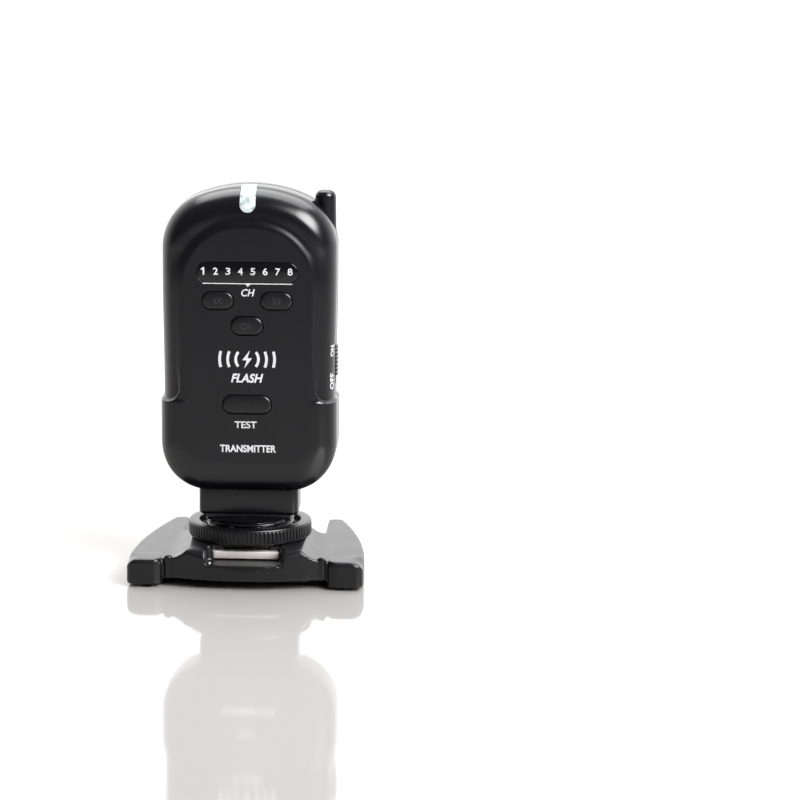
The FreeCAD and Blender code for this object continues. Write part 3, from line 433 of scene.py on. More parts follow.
def fold_pocket():
    reach = 6.95
    arc = [(-reach * math.cos(a), HINGE_Z + reach * math.sin(a)) for a in np.linspace(0, math.pi / 2, 24)]
    corners = [(-reach, CASE_BOTTOM - 3)] + arc + [(14.0, HINGE_Z + reach), (14.0, CASE_BOTTOM - 3)]
    return side_prism("pocket", 13.95, corners)


def lens_tongue(grow, back):
    """The lens's outline from the front as a prism: a rounded tongue open at the top."""
    half = LENS_HALF_WIDTH + grow
    turn = np.linspace(math.pi, 2 * math.pi, 25)
    middle = LENS_BOTTOM + LENS_HALF_WIDTH
    taper = 0.12
    loop = [(half * math.cos(a), middle + half * math.sin(a)) for a in turn]
    loop += [(half - taper, CASE_TOP + 3), (-half + taper, CASE_TOP + 3)]
    rings = face_rings([(np.array(loop), FACE_Y - 2), (np.array(loop), back)], 0, 0)
    return mesh_object("tongue", *skin(rings))


def make_front_shell():
    shell = mesh_object("front_case", *shell_side(front_y, SEAM_Y, 1.0, FACE_Y + 2.2, 5.0))
    cutters = [flared_pill("hole", x, z, w, h, KEY_GAP, FACE_Y, -6.0, 0.14) for _, x, z, w, h in KEYS]
    cutters.append(flared_pill("window", 0, CHANNEL_Z, CHANNEL_WIDTH, CHANNEL_HEIGHT, 0.0,
                               FACE_Y, FACE_Y + 1.0, 0.2))
    cutters.append(pill_prism("light_way", 0, CHANNEL_Z, CHANNEL_WIDTH, CHANNEL_HEIGHT,
                              [(FACE_Y + 0.5, -0.8), (-6.0, -0.8)]))
    cutters.append(lens_tongue(0.05, -1.2))
    cutters.append(fold_pocket())
    cutters.append(block("slider_way", (20.0, SLIDER_Y - 1.75, SLIDER_Z - 6.65),
                         (27, SLIDER_Y + 1.75, SLIDER_Z + 4.65)))
    boolean(shell, cutters)
    return shell


def make_rear_shell():
    shell = mesh_object("rear_case", *shell_side(back_y, SEAM_Y, -1.0, BACK_Y - WALL, 3.2))
    door = rounded_rect(2 * DOOR_HALF_WIDTH + 0.4, DOOR_TOP - DOOR_BOTTOM + 0.4, 1.2)
    middle = (DOOR_TOP + DOOR_BOTTOM) / 2
    doorway = mesh_object("doorway", *skin(face_rings([(door, BACK_Y - 4), (door, BACK_Y + 2)], 0, middle)))
    cutters = [doorway, fold_pocket()]
    cutters += [cylinder_y("seat", x, z, 1.95, BACK_Y - 4.4, BACK_Y + 2) for x, z in SCREW_SPOTS]
    boolean(shell, cutters)
    return shell


def rounded_rect(width, height, radius, grow=0.0, steps=8):
    """A rectangle with round corners as (across, up) points, grown outward evenly."""
    reach_x = width / 2 - radius
    reach_z = height / 2 - radius
    points = []
    for corner in range(4):
        cx = reach_x * (1, -1, -1, 1)[corner]
        cz = reach_z * (1, 1, -1, -1)[corner]
        for angle in np.linspace(corner, corner + 1, steps) * math.pi / 2:
            points.append((cx + (radius + grow) * math.cos(angle), cz + (radius + grow) * math.sin(angle)))
    return np.array(points)


def rounded_levels(low, high, radius, steps=4):
    """Level and shrink pairs that round both rims of a prism from low to high."""
    levels = [(low + radius - radius * math.sin(a), -(radius - radius * math.cos(a)))
              for a in np.linspace(math.pi / 2, 0, steps)]
    levels += [(high - radius + radius * math.sin(a), -(radius - radius * math.cos(a)))
               for a in np.linspace(0, math.pi / 2, steps)]
    return levels


def soft_block(name, low, high, radius, corner=0.0):
    """A block along z whose corners and rims are round."""
    low = np.array(low, float)
    high = np.array(high, float)
    size = high - low
    corner = max(corner, radius)
    rings = []
    for z, grow in rounded_levels(low[2], high[2], radius):
        loop = rounded_rect(size[0], size[1], corner, grow)
        rings.append(np.stack([loop[:, 0] + (low[0] + high[0]) / 2,
                               loop[:, 1] + (low[1] + high[1]) / 2, np.full(len(loop), z)], 1))
    return mesh_object(name, *skin(rings))


def make_door():
    middle = (DOOR_TOP + DOOR_BOTTOM) / 2
    width = 2 * DOOR_HALF_WIDTH
    height = DOOR_TOP - DOOR_BOTTOM
    levels = rounded_levels(BACK_Y - 1.6, BACK_Y, 0.3)
    rings = face_rings([(rounded_rect(width, height, 1.0, grow), y) for y, grow in levels], 0, middle)
    plate = mesh_object("door_plate", *skin(rings))
    grooves = []
    for row in range(5):
        z = DOOR_BOTTOM + 4.35 + 1.6 * row
        flare = [(BACK_Y - 0.4, 0.0), (BACK_Y - 0.1, 0.0), (BACK_Y + 0.6, 0.7)]
        grooves.append(pill_prism("groove", 0, z, 10.0 + 1.2 * row, 0.7, flare))
    boolean(plate, grooves)
    tabs = []
    tab_y = BACK_Y - WALL - 1.0
    for x in (-9.0, 9.0):
        low = (x - 1.5, tab_y, DOOR_TOP - 3)
        tabs.append(soft_block("tab", low, (x + 1.5, tab_y + 0.9, DOOR_TOP + 1.4), 0.2))
        tabs.append(soft_block("tab", low, (x + 1.5, BACK_Y - 0.5, DOOR_TOP - 1), 0.2))
    tabs.append(soft_block("catch", (-3, tab_y - 0.2, DOOR_BOTTOM + 0.4),
                           (3, BACK_Y - 0.5, DOOR_BOTTOM + 1.4), 0.2))
    return joined("door", [plate] + tabs)


def make_lens():
    lens = mesh_object("lens", *front_solid(0.10))
    boolean(lens, [lens_tongue(-0.04, -1.24)], "INTERSECT")
    core = mesh_object("core", *front_solid(-2.6))
    boolean(lens, [core])
    return lens


def make_window():
    width, height = CHANNEL_WIDTH - 0.1, CHANNEL_HEIGHT - 0.1
    levels = [(-8.6, -0.85), (FACE_Y + 1.0, -0.85), (FACE_Y + 1.0, 0.0), (WINDOW_FRONT + 0.18, 0.0),
              (WINDOW_FRONT + 0.08, -0.05), (WINDOW_FRONT, -0.2)]
    return pill_prism("channel_strip", 0, CHANNEL_Z, width, height, levels)


def stroke(points, width, y0, y1):
    """A raised line through (x, z) points, mitred at its bends."""
    points = np.array(points, float)
    along = np.diff(points, axis=0)
    along /= np.linalg.norm(along, axis=1)[:, None]
    across = np.stack([-along[:, 1], along[:, 0]], 1)
    sides = [across[0]]
    for a, b in zip(across[:-1], across[1:]):
        middle = (a + b) / np.linalg.norm(a + b)
        sides.append(middle / max(0.35, float(middle @ a)))
    sides.append(across[-1])
    sides = np.array(sides) * width / 2
    loop = np.concatenate([points + sides, (points - sides)[::-1]])
    return mesh_object("stroke", *skin(face_rings([(loop, y1), (loop, y0)], 0, 0)))


def key_marks(name, x, z):
    """Printed signs on the key tops: two arrows each way, and a ring with a bar."""
    top = KEY_FRONT - 0.12
    deep = KEY_FRONT + 0.1
    if name == "button_set":
        turns = np.linspace(0, 2 * math.pi, 25)
        ring = [(x - 0.75 + 0.72 * math.cos(a), z + 0.72 * math.sin(a)) for a in turns]
        bar = [(x + 0.75, z - 0.85), (x + 0.75, z + 0.85)]
        return [stroke(ring, 0.26, top, deep), stroke(bar, 0.3, top, deep)]
    sign = -1 if name == "button_previous" else 1
    marks = []
    for shift in (-0.62, 0.62):
        cx = x + shift
        marks.append(stroke([(cx - sign * 0.42, z + 0.85), (cx + sign * 0.42, z),
                             (cx - sign * 0.42, z - 0.85)],
                            0.3, top, deep))
    return marks


def make_key(name, x, z, width, height):
    """A pill key with a rounded rim, a slightly domed top and a stem behind."""
    rim = 0.75
    levels = [(FACE_Y + 2.6, 0.0), (KEY_FRONT + rim, 0.0)]
    for a in np.linspace(0, math.pi / 2, 6)[1:]:
        levels.append((KEY_FRONT + rim - rim * math.sin(a), -rim * (1 - math.cos(a))))
    reach = height / 2 - 0.2
    for grow in np.linspace(rim, reach, 7)[1:]:
        levels.append((KEY_FRONT - 0.07 * (1 - ((reach - grow) / (reach - rim)) ** 2), -grow))
    cap = pill_prism("cap", x, z, width, height, levels)
    stem = cylinder_y("stem", x, z, 1.2, FACE_Y + 2.5, -7.4)
    return joined(name + "_cap", [cap, stem], 30)


def make_antenna():
    """A stub with a slightly slimmer, round-shouldered end."""
    radius, slim, bend = 3.0, 2.86, 1.9
    foot, top = 84.0, 106.7
    profile = [(1.9, foot), (radius, foot), (radius, foot + 12)]
    for a in np.linspace(0, math.pi / 2, 12):
        profile.append((slim - bend + bend * math.cos(a), top - bend + bend * math.sin(a)))
    profile.append((0.3, top))
    return mesh_object("antenna_stub", *skin(turned(profile, 64, ANTENNA)))


def make_slider():
    """A ribbed thumb piece: round teeth along its outer face."""
    outer = 24.3
    low = SLIDER_Z - 4.5
    profile = [(20.9, low), (outer - 0.9, low), (outer - 0.55, low + 0.1)]
    for tooth in range(8):
        middle = low + 0.62 + tooth * 1.085
        for a in np.linspace(math.pi, 0, 7):
            profile.append((outer - 0.5 + 0.5 * math.sin(a), middle - 0.34 * math.cos(math.pi - a)))
    profile += [(outer - 0.55, low + 8.9), (outer - 0.9, low + 9.0), (20.9, low + 9.0)]
    profile = np.array(profile)
    rings = []
    for y, shrink in ((-1.6, 0.45), (-1.45, 0.15), (-1.1, 0.0), (1.1, 0.0), (1.45, 0.15), (1.6, 0.45)):
        x = np.where(profile[:, 0] > 21.5, profile[:, 0] - shrink, profile[:, 0])
        rings.append(np.stack([x, np.full(len(x), SLIDER_Y + y), profile[:, 1]], 1))
    return mesh_object("power_thumb", *skin(rings))


# ------------------------------------------------------------------ foot and ring

RING_R = 17.0
RING_Z = 11.05
RING_TOP = 15.35
STEM_R = 12.2
NECK_BOTTOM = 17.45
STEM_TOP = 16.6
PLATE_Z = 7.2
RIBS = 90


def make_ring():
    """Lock ring: square ribs between two smooth rims, a counterbore and a bore."""
    per_rib = 8
    count = RIBS * per_rib
    place = np.arange(count) % per_rib
    depth = 0.34 * np.isin(place, (5, 6, 7)) + 0.05 * np.isin(place, (0, 4))
    angles = np.arange(count) / count * 2 * math.pi
    core = RING_R - 0.12
    profile = [
        (STEM_R + 0.06, RING_Z + 0.68, 0), (15.1, RING_Z + 0.65, 0), (15.1, RING_Z, 0),
        (core - 0.5, RING_Z, 0), (core - 0.2, RING_Z + 0.08, 0),
        (core, RING_Z + 0.35, 0), (core, RING_Z + 0.62, 0),
        (RING_R, RING_Z + 0.82, 1), (RING_R, RING_Z + 1.1, 1),
        (RING_R, RING_TOP - 1.0, 1), (RING_R, RING_TOP - 0.78, 1),
        (core, RING_TOP - 0.62, 0), (core, RING_TOP - 0.3, 0), (core - 0.12, RING_TOP - 0.1, 0),
        (core - 0.35, RING_TOP, 0), (14.35, RING_TOP, 0),
        (14.1, RING_TOP - 0.07, 0), (14.0, RING_TOP - 0.25, 0),
        (14.0, RING_TOP - 2.25, 0), (13.85, RING_TOP - 2.4, 0), (12.6, RING_TOP - 2.4, 0),
        (STEM_R + 0.06, RING_TOP - 2.75, 0),
    ]
    rings = []
    for radius, z, ribbed in profile:
        r = radius - depth * ribbed
        rings.append(np.stack([r * np.cos(angles), r * np.sin(angles), np.full(count, z)], 1))
    points, faces = skin(rings, closed_path=True)
    return mesh_object("knurled_ring", points, faces, 32)


def stem_thread():
    """The threaded stem: rings whose radius follows a helix."""
    pitch = 1.1
    levels = np.arange(11.35, STEM_TOP, 0.11)
    count = 144
    angles = np.arange(count) / count * 2 * math.pi
    rings = []
    for z in levels:
        phase = (z / pitch - angles / (2 * math.pi)) % 1.0
        wave = np.abs(phase * 2 - 1)
        radius = STEM_R - 0.02 - 0.55 * np.clip(wave * 1.25 - 0.12, 0, 1) ** 1.2
        rings.append(np.stack([radius * np.cos(angles), radius * np.sin(angles), np.full(count, z)], 1))
    return mesh_object("stem", *skin(rings), 50)


def make_foot_block():
    """Neck, hinge barrel, threaded stem and the pedestal that rises from the shoe plate."""
    pieces = []
    rings = []
    for z, grow in rounded_levels(NECK_BOTTOM, 27.4, 1.1):
        loop = rounded_rect(27.4, 13.5, 2.2, grow)
        rings.append(np.stack([loop[:, 0], loop[:, 1], np.full(len(loop), z)], 1))
    pieces.append(mesh_object("neck", *skin(rings)))
    turn = np.linspace(0, 2 * math.pi, 60, endpoint=False)
    rings = []
    for x, grow in rounded_levels(-13.2, 13.2, 0.35):
        loop = (6.75 + grow) * np.stack([np.cos(turn), np.sin(turn)], 1)
        rings.append(np.stack([np.full(len(loop), x), loop[:, 0], loop[:, 1] + HINGE_Z], 1))
    pieces.append(mesh_object("barrel", *skin(rings)))
    pieces.append(soft_block("web", (-13.2, -6.75, 26.0), (13.2, 6.75, HINGE_Z), 0.3))
    pieces.append(stem_thread())
    pieces.append(soft_block("collar", (-11.5, -6.3, STEM_TOP - 0.5), (11.5, 6.3, NECK_BOTTOM + 1), 0.2))
    pieces.append(soft_block("pedestal", (-6.15, -12.0, 9.2), (6.15, 5.7, 11.6), 0.25))
    return joined("foot_neck", pieces)


def make_foot_plate():
    rings = []
    for z, grow in rounded_levels(PLATE_Z, PLATE_Z + 2.0, 0.22):
        loop = rounded_rect(18.6, 21.0, 0.9, grow)
        rings.append(np.stack([loop[:, 0], loop[:, 1] - 4.8, np.full(len(loop), z)], 1))
    plate = mesh_object("shoe_plate", *skin(rings))
    cutters = [mesh_object("eye", *skin(turned([(4.0, 5.0), (4.0, 11.0)], 64, (0.0, -3.5))))]
    for x, y in ((-4.2, 2.6), (4.2, 2.6), (-4.2, -10.3), (4.2, -10.3)):
        cutters.append(mesh_object("seat", *skin(turned([(2.3, 6.8), (1.1, 8.2), (1.1, 11.0)], 32, (x, y)))))
    boolean(plate, cutters)
    return plate


# ------------------------------------------------------------------ stand

WING_HALF = 32.4
WING_TOP = 8.0


def outer_edge(x, y):
    """How far inside the stand's curved sides, and behind its feet's fronts, a point of the plan is."""
    corners = ((WING_HALF, -18.5), (30.7, 5.5), (25.2, 30.5))
    (ax, ay), (bx, by), (cx, cy) = corners
    twice = 2 * (ax * (by - cy) + bx * (cy - ay) + cx * (ay - by))
    a2, b2, c2 = (x ** 2 + y ** 2 for x, y in corners)
    ux = (a2 * (by - cy) + b2 * (cy - ay) + c2 * (ay - by)) / twice
    uy = (a2 * (cx - bx) + b2 * (ax - cx) + c2 * (bx - ax)) / twice
    side = math.hypot(ax - ux, ay - uy) - np.hypot(np.abs(x) - ux, y - uy)
    return side, np.where(np.abs(x) > 22.5, y + 21.2, 99.0)


def roll_edges(thing):
    """Rounds the upper rim of the wings and feet."""
    count = len(thing.data.vertices)
    flat = np.empty(count * 3)
    thing.data.vertices.foreach_get("co", flat)
    points = flat.reshape(-1, 3) / MM
    side, front = outer_edge(points[:, 0], points[:, 1] - AXIS_Y)
    bend = 1.3 + 2.0 * smooth_step((-points[:, 1] + AXIS_Y - 10.0) / 8.0)
    limit = WING_TOP - roll(np.maximum(side, 0), bend, 2.0) - roll(np.maximum(front, 0), 0.9, 2.0)
    points[:, 2] = np.where(np.abs(points[:, 0]) > 22.0, np.minimum(points[:, 2], limit), points[:, 2])
    thing.data.vertices.foreach_set("co", (points * MM).ravel())
    thing.data.update()


def foot_cap(x0, x1):
    """A front foot: a block with round upright corners and a well rolled top."""
    rings = []
    low, high, bend = 0.9, 8.15, 0.9
    levels = [(low, -0.35), (low + 0.35, 0.0)]
    quarter = np.linspace(0, math.pi / 2, 7)
    levels += [(high - bend + bend * math.sin(a), -bend * (1 - math.cos(a))) for a in quarter]
    for z, grow in levels:
        loop = rounded_rect(x1 - x0, 8.6, 2.2, grow)
        rings.append(np.stack([loop[:, 0] + (x0 + x1) / 2, loop[:, 1] - 17.0, np.full(len(loop), z)], 1))
    return mesh_object("cap", *skin(rings))


def make_stand():
    """The stand's solid with rounded foot caps, posts and softened edges."""
    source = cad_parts["stand_base"]
    mesh = source.data.copy()
    mesh.materials.clear()
    base = bpy.data.objects.new("stand_body", mesh)
    bpy.context.scene.collection.objects.link(base)
    boolean(base, [block("under_wall", (-22.4, -26.0, 0.0), (22.4, -12.0, 2.6))])
    boolean(base, [block("rail_fronts", (-9.45, -26.0, 6.9), (9.45, -13.6, 12.0))])
    pieces = [base]
    for side in (-1, 1):
        x0, x1 = sorted((side * 23.0, side * 32.35))
        pieces.append(foot_cap(x0, x1))
        post = []
        for z, grow in rounded_levels(2.4, 8.9, 0.5):
            loop = (1.05 + grow) * np.stack([np.cos(TURN), np.sin(TURN)], 1)
            post.append(np.stack([loop[:, 0] + side * 21.1, loop[:, 1] - 18.9, np.full(len(loop), z)], 1))
        pieces.append(mesh_object("post", *skin(post)))
    whole = joined("stand_shape", pieces)
    remesh = whole.modifiers.new("skin", "REMESH")
    remesh.mode = "VOXEL"
    remesh.voxel_size = 0.36 * MM
    remesh.adaptivity = 0.0
    apply_modifiers(whole)
    roll_edges(whole)
    smooth = whole.modifiers.new("soft", "SMOOTH")
    smooth.factor = 0.5
    smooth.iterations = 4
    apply_modifiers(whole)
    whole.data.polygons.foreach_set("use_smooth", [True] * len(whole.data.polygons))
    whole.data.set_sharp_from_angle(angle=math.radians(50))
    return whole


def slot_nubs():
    """Two small round steel heads at the corners of the slot's floor."""
    heads = []
    for side in (-1, 1):
        rings = []
        for a in np.linspace(0.05, math.pi / 2, 7):
            r = 0.75 * math.sin(a)
            rings.append(np.stack([side * 9.75 + r * np.cos(TURN), -19.6 + r * np.sin(TURN),
                                   np.full(len(TURN), 6.8 + 0.6 * math.cos(a))], 1))
        heads.append(mesh_object("head", *skin(rings)))
    return joined("slot_heads", heads)


# ------------------------------------------------------------------ labels

def letter_mesh(text, width, height, slant, bold):
    """Flat letters fitted to a size: their points round the middle, and their faces."""
    curve = bpy.data.curves.new("letters", "FONT")
    curve.body = text
    curve.size = 1.0
    curve.offset = bold
    curve.shear = slant
    curve.space_character = 1.0
    curve.resolution_u = 6
    shape = bpy.data.objects.new("letters", curve)
    bpy.context.scene.collection.objects.link(shape)
    graph = bpy.context.evaluated_depsgraph_get()
    mesh = bpy.data.meshes.new_from_object(shape.evaluated_get(graph))
    bpy.data.objects.remove(shape)
    flat = np.array([v.co for v in mesh.vertices], float)[:, :2]
    low, high = flat.min(0), flat.max(0)
    flat = (flat - (low + high) / 2) / (high - low) * (width, height)
    faces = [tuple(face.vertices) for face in mesh.polygons]
    bpy.data.meshes.remove(mesh)
    return flat, faces


def ink_object(points, faces):
    made = bpy.data.meshes.new("ink")
    made.from_pydata([tuple(p) for p in to_row(points)], [], faces)
    made.validate()
    ink = bpy.data.objects.new("ink", made)
    bpy.context.scene.collection.objects.link(ink)
    return ink


def lettering(text, x, z, width, height, slant=0.0, bold=0.02, surface=front_y, lift=0.03):
    """Printed letters laid on the surface behind them."""
    flat, faces = letter_mesh(text, width, height, slant, bold)
    px, pz = flat[:, 0] + x, flat[:, 1] + z
    return ink_object(np.stack([px, surface(px, pz) - lift, pz], 1), faces)


def side_lettering(text, z, width, height):
    """Letters that read upward, wrapped round the case's right edge."""
    flat, faces = letter_mesh(text, width, height, 0.0, 0.025)
    inset = np.linspace(5.0, 0.0, 400) ** 2 / 5.0
    edge_x = float(half_width(z)) - inset
    edge_y = front_y(edge_x, np.full(400, z))
    run = np.concatenate([[0], np.cumsum(np.hypot(np.diff(edge_x), np.diff(edge_y)))])
    middle = np.interp(0.65, inset[::-1], run[::-1])
    where = middle - flat[:, 1]
    slope_x = np.interp(where, run, np.gradient(edge_x, run))
    slope_y = np.interp(where, run, np.gradient(edge_y, run))
    rise = z + flat[:, 0]
    side_x = half_width(rise) - np.interp(where, run, inset)
    side_y = front_y(side_x, rise)
    lift = 0.06
    return ink_object(np.stack([side_x + lift * slope_y, side_y - lift * slope_x, rise], 1), faces)


def printed(loop, lift=0.03):
    """A flat printed shape from an (x, z) outline, laid on the face."""
    loop = np.array(loop, float)
    front = np.stack([loop[:, 0], front_y(loop[:, 0], loop[:, 1]) - lift, loop[:, 1]], 1)
    return ink_object(front, [tuple(range(len(loop)))])


def band_arc(cx, cz, radius, width, start, stop):
    angles = np.linspace(start, stop, 15)
    strips = []
    for a, b in zip(angles[:-1], angles[1:]):
        strips.append([(cx + (radius + s) * math.cos(t), cz + (radius + s) * math.sin(t))
                       for s, t in ((-width / 2, a), (width / 2, a), (width / 2, b), (-width / 2, b))])
    return [printed(strip) for strip in strips]


def face_labels():
    inks = []
    for x in np.arange(-12.1, 12.3, 0.94):
        inks.append(printed([(x, 82.84), (x + 0.94, 82.84), (x + 0.94, 82.58), (x, 82.58)]))
    inks.append(printed([(0.9, 82.6), (0.2, 81.9), (-0.5, 82.6)]))
    inks.append(lettering("CH", 0.25, 80.25, 3.7, 2.05, slant=0.25))
    inks.append(lettering("TEST", -0.4, 43.75, 6.0, 1.95))
    inks.append(lettering("TRANSMITTER", 0.25, 37.1, 15.4, 2.05, bold=0.03))
    inks.append(lettering("FLASH", 0.0, 56.7, 8.8, 2.5, slant=0.25, bold=0.03))
    bolt = [(0.75, 2.5), (-1.35, -0.25), (-0.12, -0.25), (-0.75, -2.5), (1.35, 0.35), (0.12, 0.35)]
    inks.append(printed([(x, 61.9 + z) for x, z in bolt]))
    for radius, reach in ((3.1, 0.70), (5.3, 0.42), (7.5, 0.30)):
        inks += band_arc(0.0, 61.9, radius, 0.75, -reach, reach)
        inks += band_arc(0.0, 61.9, radius, 0.75, math.pi - reach, math.pi + reach)
    inks.append(side_lettering("OFF", 55.2, 4.6, 2.1))
    inks.append(side_lettering("ON", 63.6, 3.1, 2.1))
    return joined("face_print", inks)


def window_y(x, z):
    return np.full(np.shape(x), WINDOW_FRONT)


def window_labels():
    digits = [lettering(str(n + 1), (n - 3.5) * 3.38 - 0.15, 86.05, 1.35, 1.95, surface=window_y, lift=0.02)
              for n in range(1, 8)]
    one = [(0.32, 1.05), (0.32, -1.05), (-0.12, -1.05), (-0.12, 0.45), (-0.62, 0.3), (-0.62, 0.62),
           (0.0, 1.05)]
    digits.append(ink_object([(x - 3.5 * 3.38 - 0.15, WINDOW_FRONT - 0.02, z + 86.05) for x, z in one],
                             [tuple(range(len(one)))]))
    return joined("channel_digits", digits)


# ------------------------------------------------------------------ materials

def new_material(name):
    material = bpy.data.materials.new(name)
    material.use_nodes = True
    tree = material.node_tree
    shader = tree.nodes["Principled BSDF"]
    coords = tree.nodes.new("ShaderNodeTexCoord")
    return material, tree, shader, coords.outputs["Object"]


def noise(tree, coords, scale, detail=4.0):
    node = tree.nodes.new("ShaderNodeTexNoise")
    node.inputs["Scale"].default_value = scale
    node.inputs["Detail"].default_value = detail
    tree.links.new(coords, node.inputs["Vector"])
    return node.outputs["Fac"]


def ramp(tree, source, dark, light, low=0.3, high=0.7):
    node = tree.nodes.new("ShaderNodeValToRGB")
    node.color_ramp.elements[0].position = low
    node.color_ramp.elements[0].color = (*dark, 1)
    node.color_ramp.elements[1].position = high
    node.color_ramp.elements[1].color = (*light, 1)
    tree.links.new(source, node.inputs["Fac"])
    return node.outputs["Color"]


def spread(tree, source, low, high):
    node = tree.nodes.new("ShaderNodeMapRange")
    node.inputs["To Min"].default_value = low
    node.inputs["To Max"].default_value = high
    tree.links.new(source, node.inputs["Value"])
    return node.outputs["Result"]


def relief(tree, shader, source, strength, distance):
    node = tree.nodes.new("ShaderNodeBump")
    node.inputs["Strength"].default_value = strength
    node.inputs["Distance"].default_value = distance
    tree.links.new(source, node.inputs["Height"])
    tree.links.new(node.outputs["Normal"], shader.inputs["Normal"])


def surface_material(name, dark, light, rough, grain=2600.0, bump=0.05, metal=0.0, coat=0.0, ior=1.5):
    """A finish with its own drift of colour, gloss and fine grain."""
    material, tree, shader, coords = new_material(name)
    broad = noise(tree, coords, 60.0)
    tree.links.new(ramp(tree, broad, dark, light), shader.inputs["Base Color"])
    tree.links.new(spread(tree, noise(tree, coords, 240.0), *rough), shader.inputs["Roughness"])
    shader.inputs["Metallic"].default_value = metal
    shader.inputs["IOR"].default_value = ior
    shader.inputs["Coat Weight"].default_value = coat
    shader.inputs["Coat Roughness"].default_value = 0.12
    relief(tree, shader, noise(tree, coords, grain, 2.0), bump, 0.00002)
    return material


def clear_material(name, dark, light):
    material, tree, shader, coords = new_material(name)
    grain = noise(tree, coords, 420.0, 5.0)
    tree.links.new(ramp(tree, grain, dark, light, 0.4, 0.62), shader.inputs["Base Color"])
    tree.links.new(spread(tree, noise(tree, coords, 500.0), 0.08, 0.2), shader.inputs["Roughness"])
    shader.inputs["Transmission Weight"].default_value = 0.35
    shader.inputs["IOR"].default_value = 1.49
    relief(tree, shader, noise(tree, coords, 900.0, 2.0), 0.25, 0.00006)
    return material


CASE = surface_material("case_black", (0.0020, 0.0020, 0.0032), (0.0032, 0.0031, 0.0047), (0.19, 0.26))
STAND = surface_material("stand_black", (0.0020, 0.0021, 0.0030), (0.0032, 0.0033, 0.0044), (0.25, 0.36))
FOOT = surface_material("foot_black", (0.0022, 0.0022, 0.0032), (0.0034, 0.0033, 0.0046), (0.20, 0.30))
RING = surface_material("ring_black", (0.0020, 0.0020, 0.0028), (0.0032, 0.0031, 0.0042), (0.24, 0.34))
KEY = surface_material("key_black", (0.0024, 0.0023, 0.0033), (0.0037, 0.0035, 0.0048), (0.24, 0.33),
                       bump=0.08)
WINDOW = surface_material("window_smoke", (0.0012, 0.0013, 0.0020), (0.0022, 0.0023, 0.0032), (0.10, 0.18),
                          bump=0.01)
MARK = surface_material("mark_grey", (0.020, 0.020, 0.023), (0.032, 0.032, 0.036), (0.30, 0.45))
CLEAR = clear_material("lens_clear", (0.20, 0.26, 0.25), (0.80, 0.87, 0.85))
INK = surface_material("white_ink", (0.52, 0.52, 0.54), (0.64, 0.64, 0.65), (0.45, 0.6), bump=0.1)
# Steel for the shoe plate and battery plates. Its base colour is lighter than plain steel and stands in for
# the white floor's reflection: partly the metal's own colour, partly painted reflection.
PLATE_PAINTED_REFLECTION = surface_material("plate_steel_painted_reflection", (0.74, 0.67, 0.65), (0.88, 0.81, 0.79), (0.32, 0.46), metal=0.55)
STEEL = surface_material("screw_steel", (0.20, 0.20, 0.21), (0.32, 0.32, 0.33), (0.24, 0.40), metal=1.0)
SPRING = surface_material("spring_steel", (0.50, 0.50, 0.49), (0.66, 0.66, 0.64), (0.2, 0.34), metal=1.0)
BRASS = surface_material("brass", (0.60, 0.42, 0.16), (0.78, 0.58, 0.26), (0.22, 0.36), metal=1.0)
GOLD = surface_material("contact_gold", (0.72, 0.52, 0.22), (0.90, 0.70, 0.34), (0.16, 0.28), metal=1.0)
RUBBER = surface_material("pad_rubber", (0.020, 0.020, 0.021), (0.032, 0.032, 0.033), (0.7, 0.85), bump=0.25)
INSULATOR = surface_material("insulator", (0.55, 0.54, 0.50), (0.68, 0.67, 0.62), (0.4, 0.55))
LAMINATE = surface_material("board_green", (0.010, 0.075, 0.028), (0.018, 0.120, 0.045), (0.28, 0.42),
                            coat=0.3)
CHIP = surface_material("chip_black", (0.012, 0.012, 0.013), (0.022, 0.022, 0.024), (0.5, 0.65), bump=0.2)
CAN = surface_material("can_tin", (0.55, 0.55, 0.54), (0.72, 0.72, 0.71), (0.22, 0.36), metal=1.0)
LED = surface_material("led_body", (0.70, 0.68, 0.60), (0.85, 0.83, 0.76), (0.2, 0.3))
WRAP = surface_material("cell_wrap", (0.10, 0.11, 0.13), (0.22, 0.23, 0.26), (0.22, 0.34), coat=0.4)
TRAY = surface_material("tray_black", (0.014, 0.014, 0.015), (0.020, 0.020, 0.022), (0.4, 0.55))
SLEEVE = surface_material("lead_sleeve", (0.30, 0.02, 0.02), (0.42, 0.04, 0.035), (0.35, 0.5))

CARRIED = {
    "stand_pads": RUBBER, "tripod_bush": BRASS, "contact_carrier": INSULATOR, "contact_pin": GOLD,
    "contact_spring": SPRING, "foot_screws": STEEL, "foot_leads": SLEEVE, "ring_washer": STEEL,
    "antenna_coil": BRASS, "switch_actuator": TRAY, "slide_switch": CAN, "tact_switches": CAN,
    "main_board": LAMINATE, "radio_board": LAMINATE, "radio_can": CAN, "radio_chip": CHIP,
    "processor_chip": CHIP, "crystal": CAN, "capacitors": INSULATOR, "channel_leds": LED, "status_led": LED,
    "battery_tray": TRAY, "battery_left": WRAP, "battery_right": WRAP, "battery_springs": SPRING,
    "battery_plates": PLATE_PAINTED_REFLECTION, "battery_leads": SLEEVE, "board_leads": SLEEVE, "hinge_pins": STEEL,
    "hinge_washers": INSULATOR, "board_screws": STEEL, "case_screws": STEEL,
}


def dress(thing, material, body, *nodes, slot=None):
    """Gives a piece its finish, its body and the CAD nodes it stands for."""
    thing.data.materials.clear()
    thing.data.materials.append(material)
    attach(thing, body)
    if nodes:
        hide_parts(*nodes)
    return thing


# ------------------------------------------------------------------ assembly

for node, material in CARRIED.items():
    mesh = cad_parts[node].data
    mesh.materials.clear()
    mesh.materials.append(material)

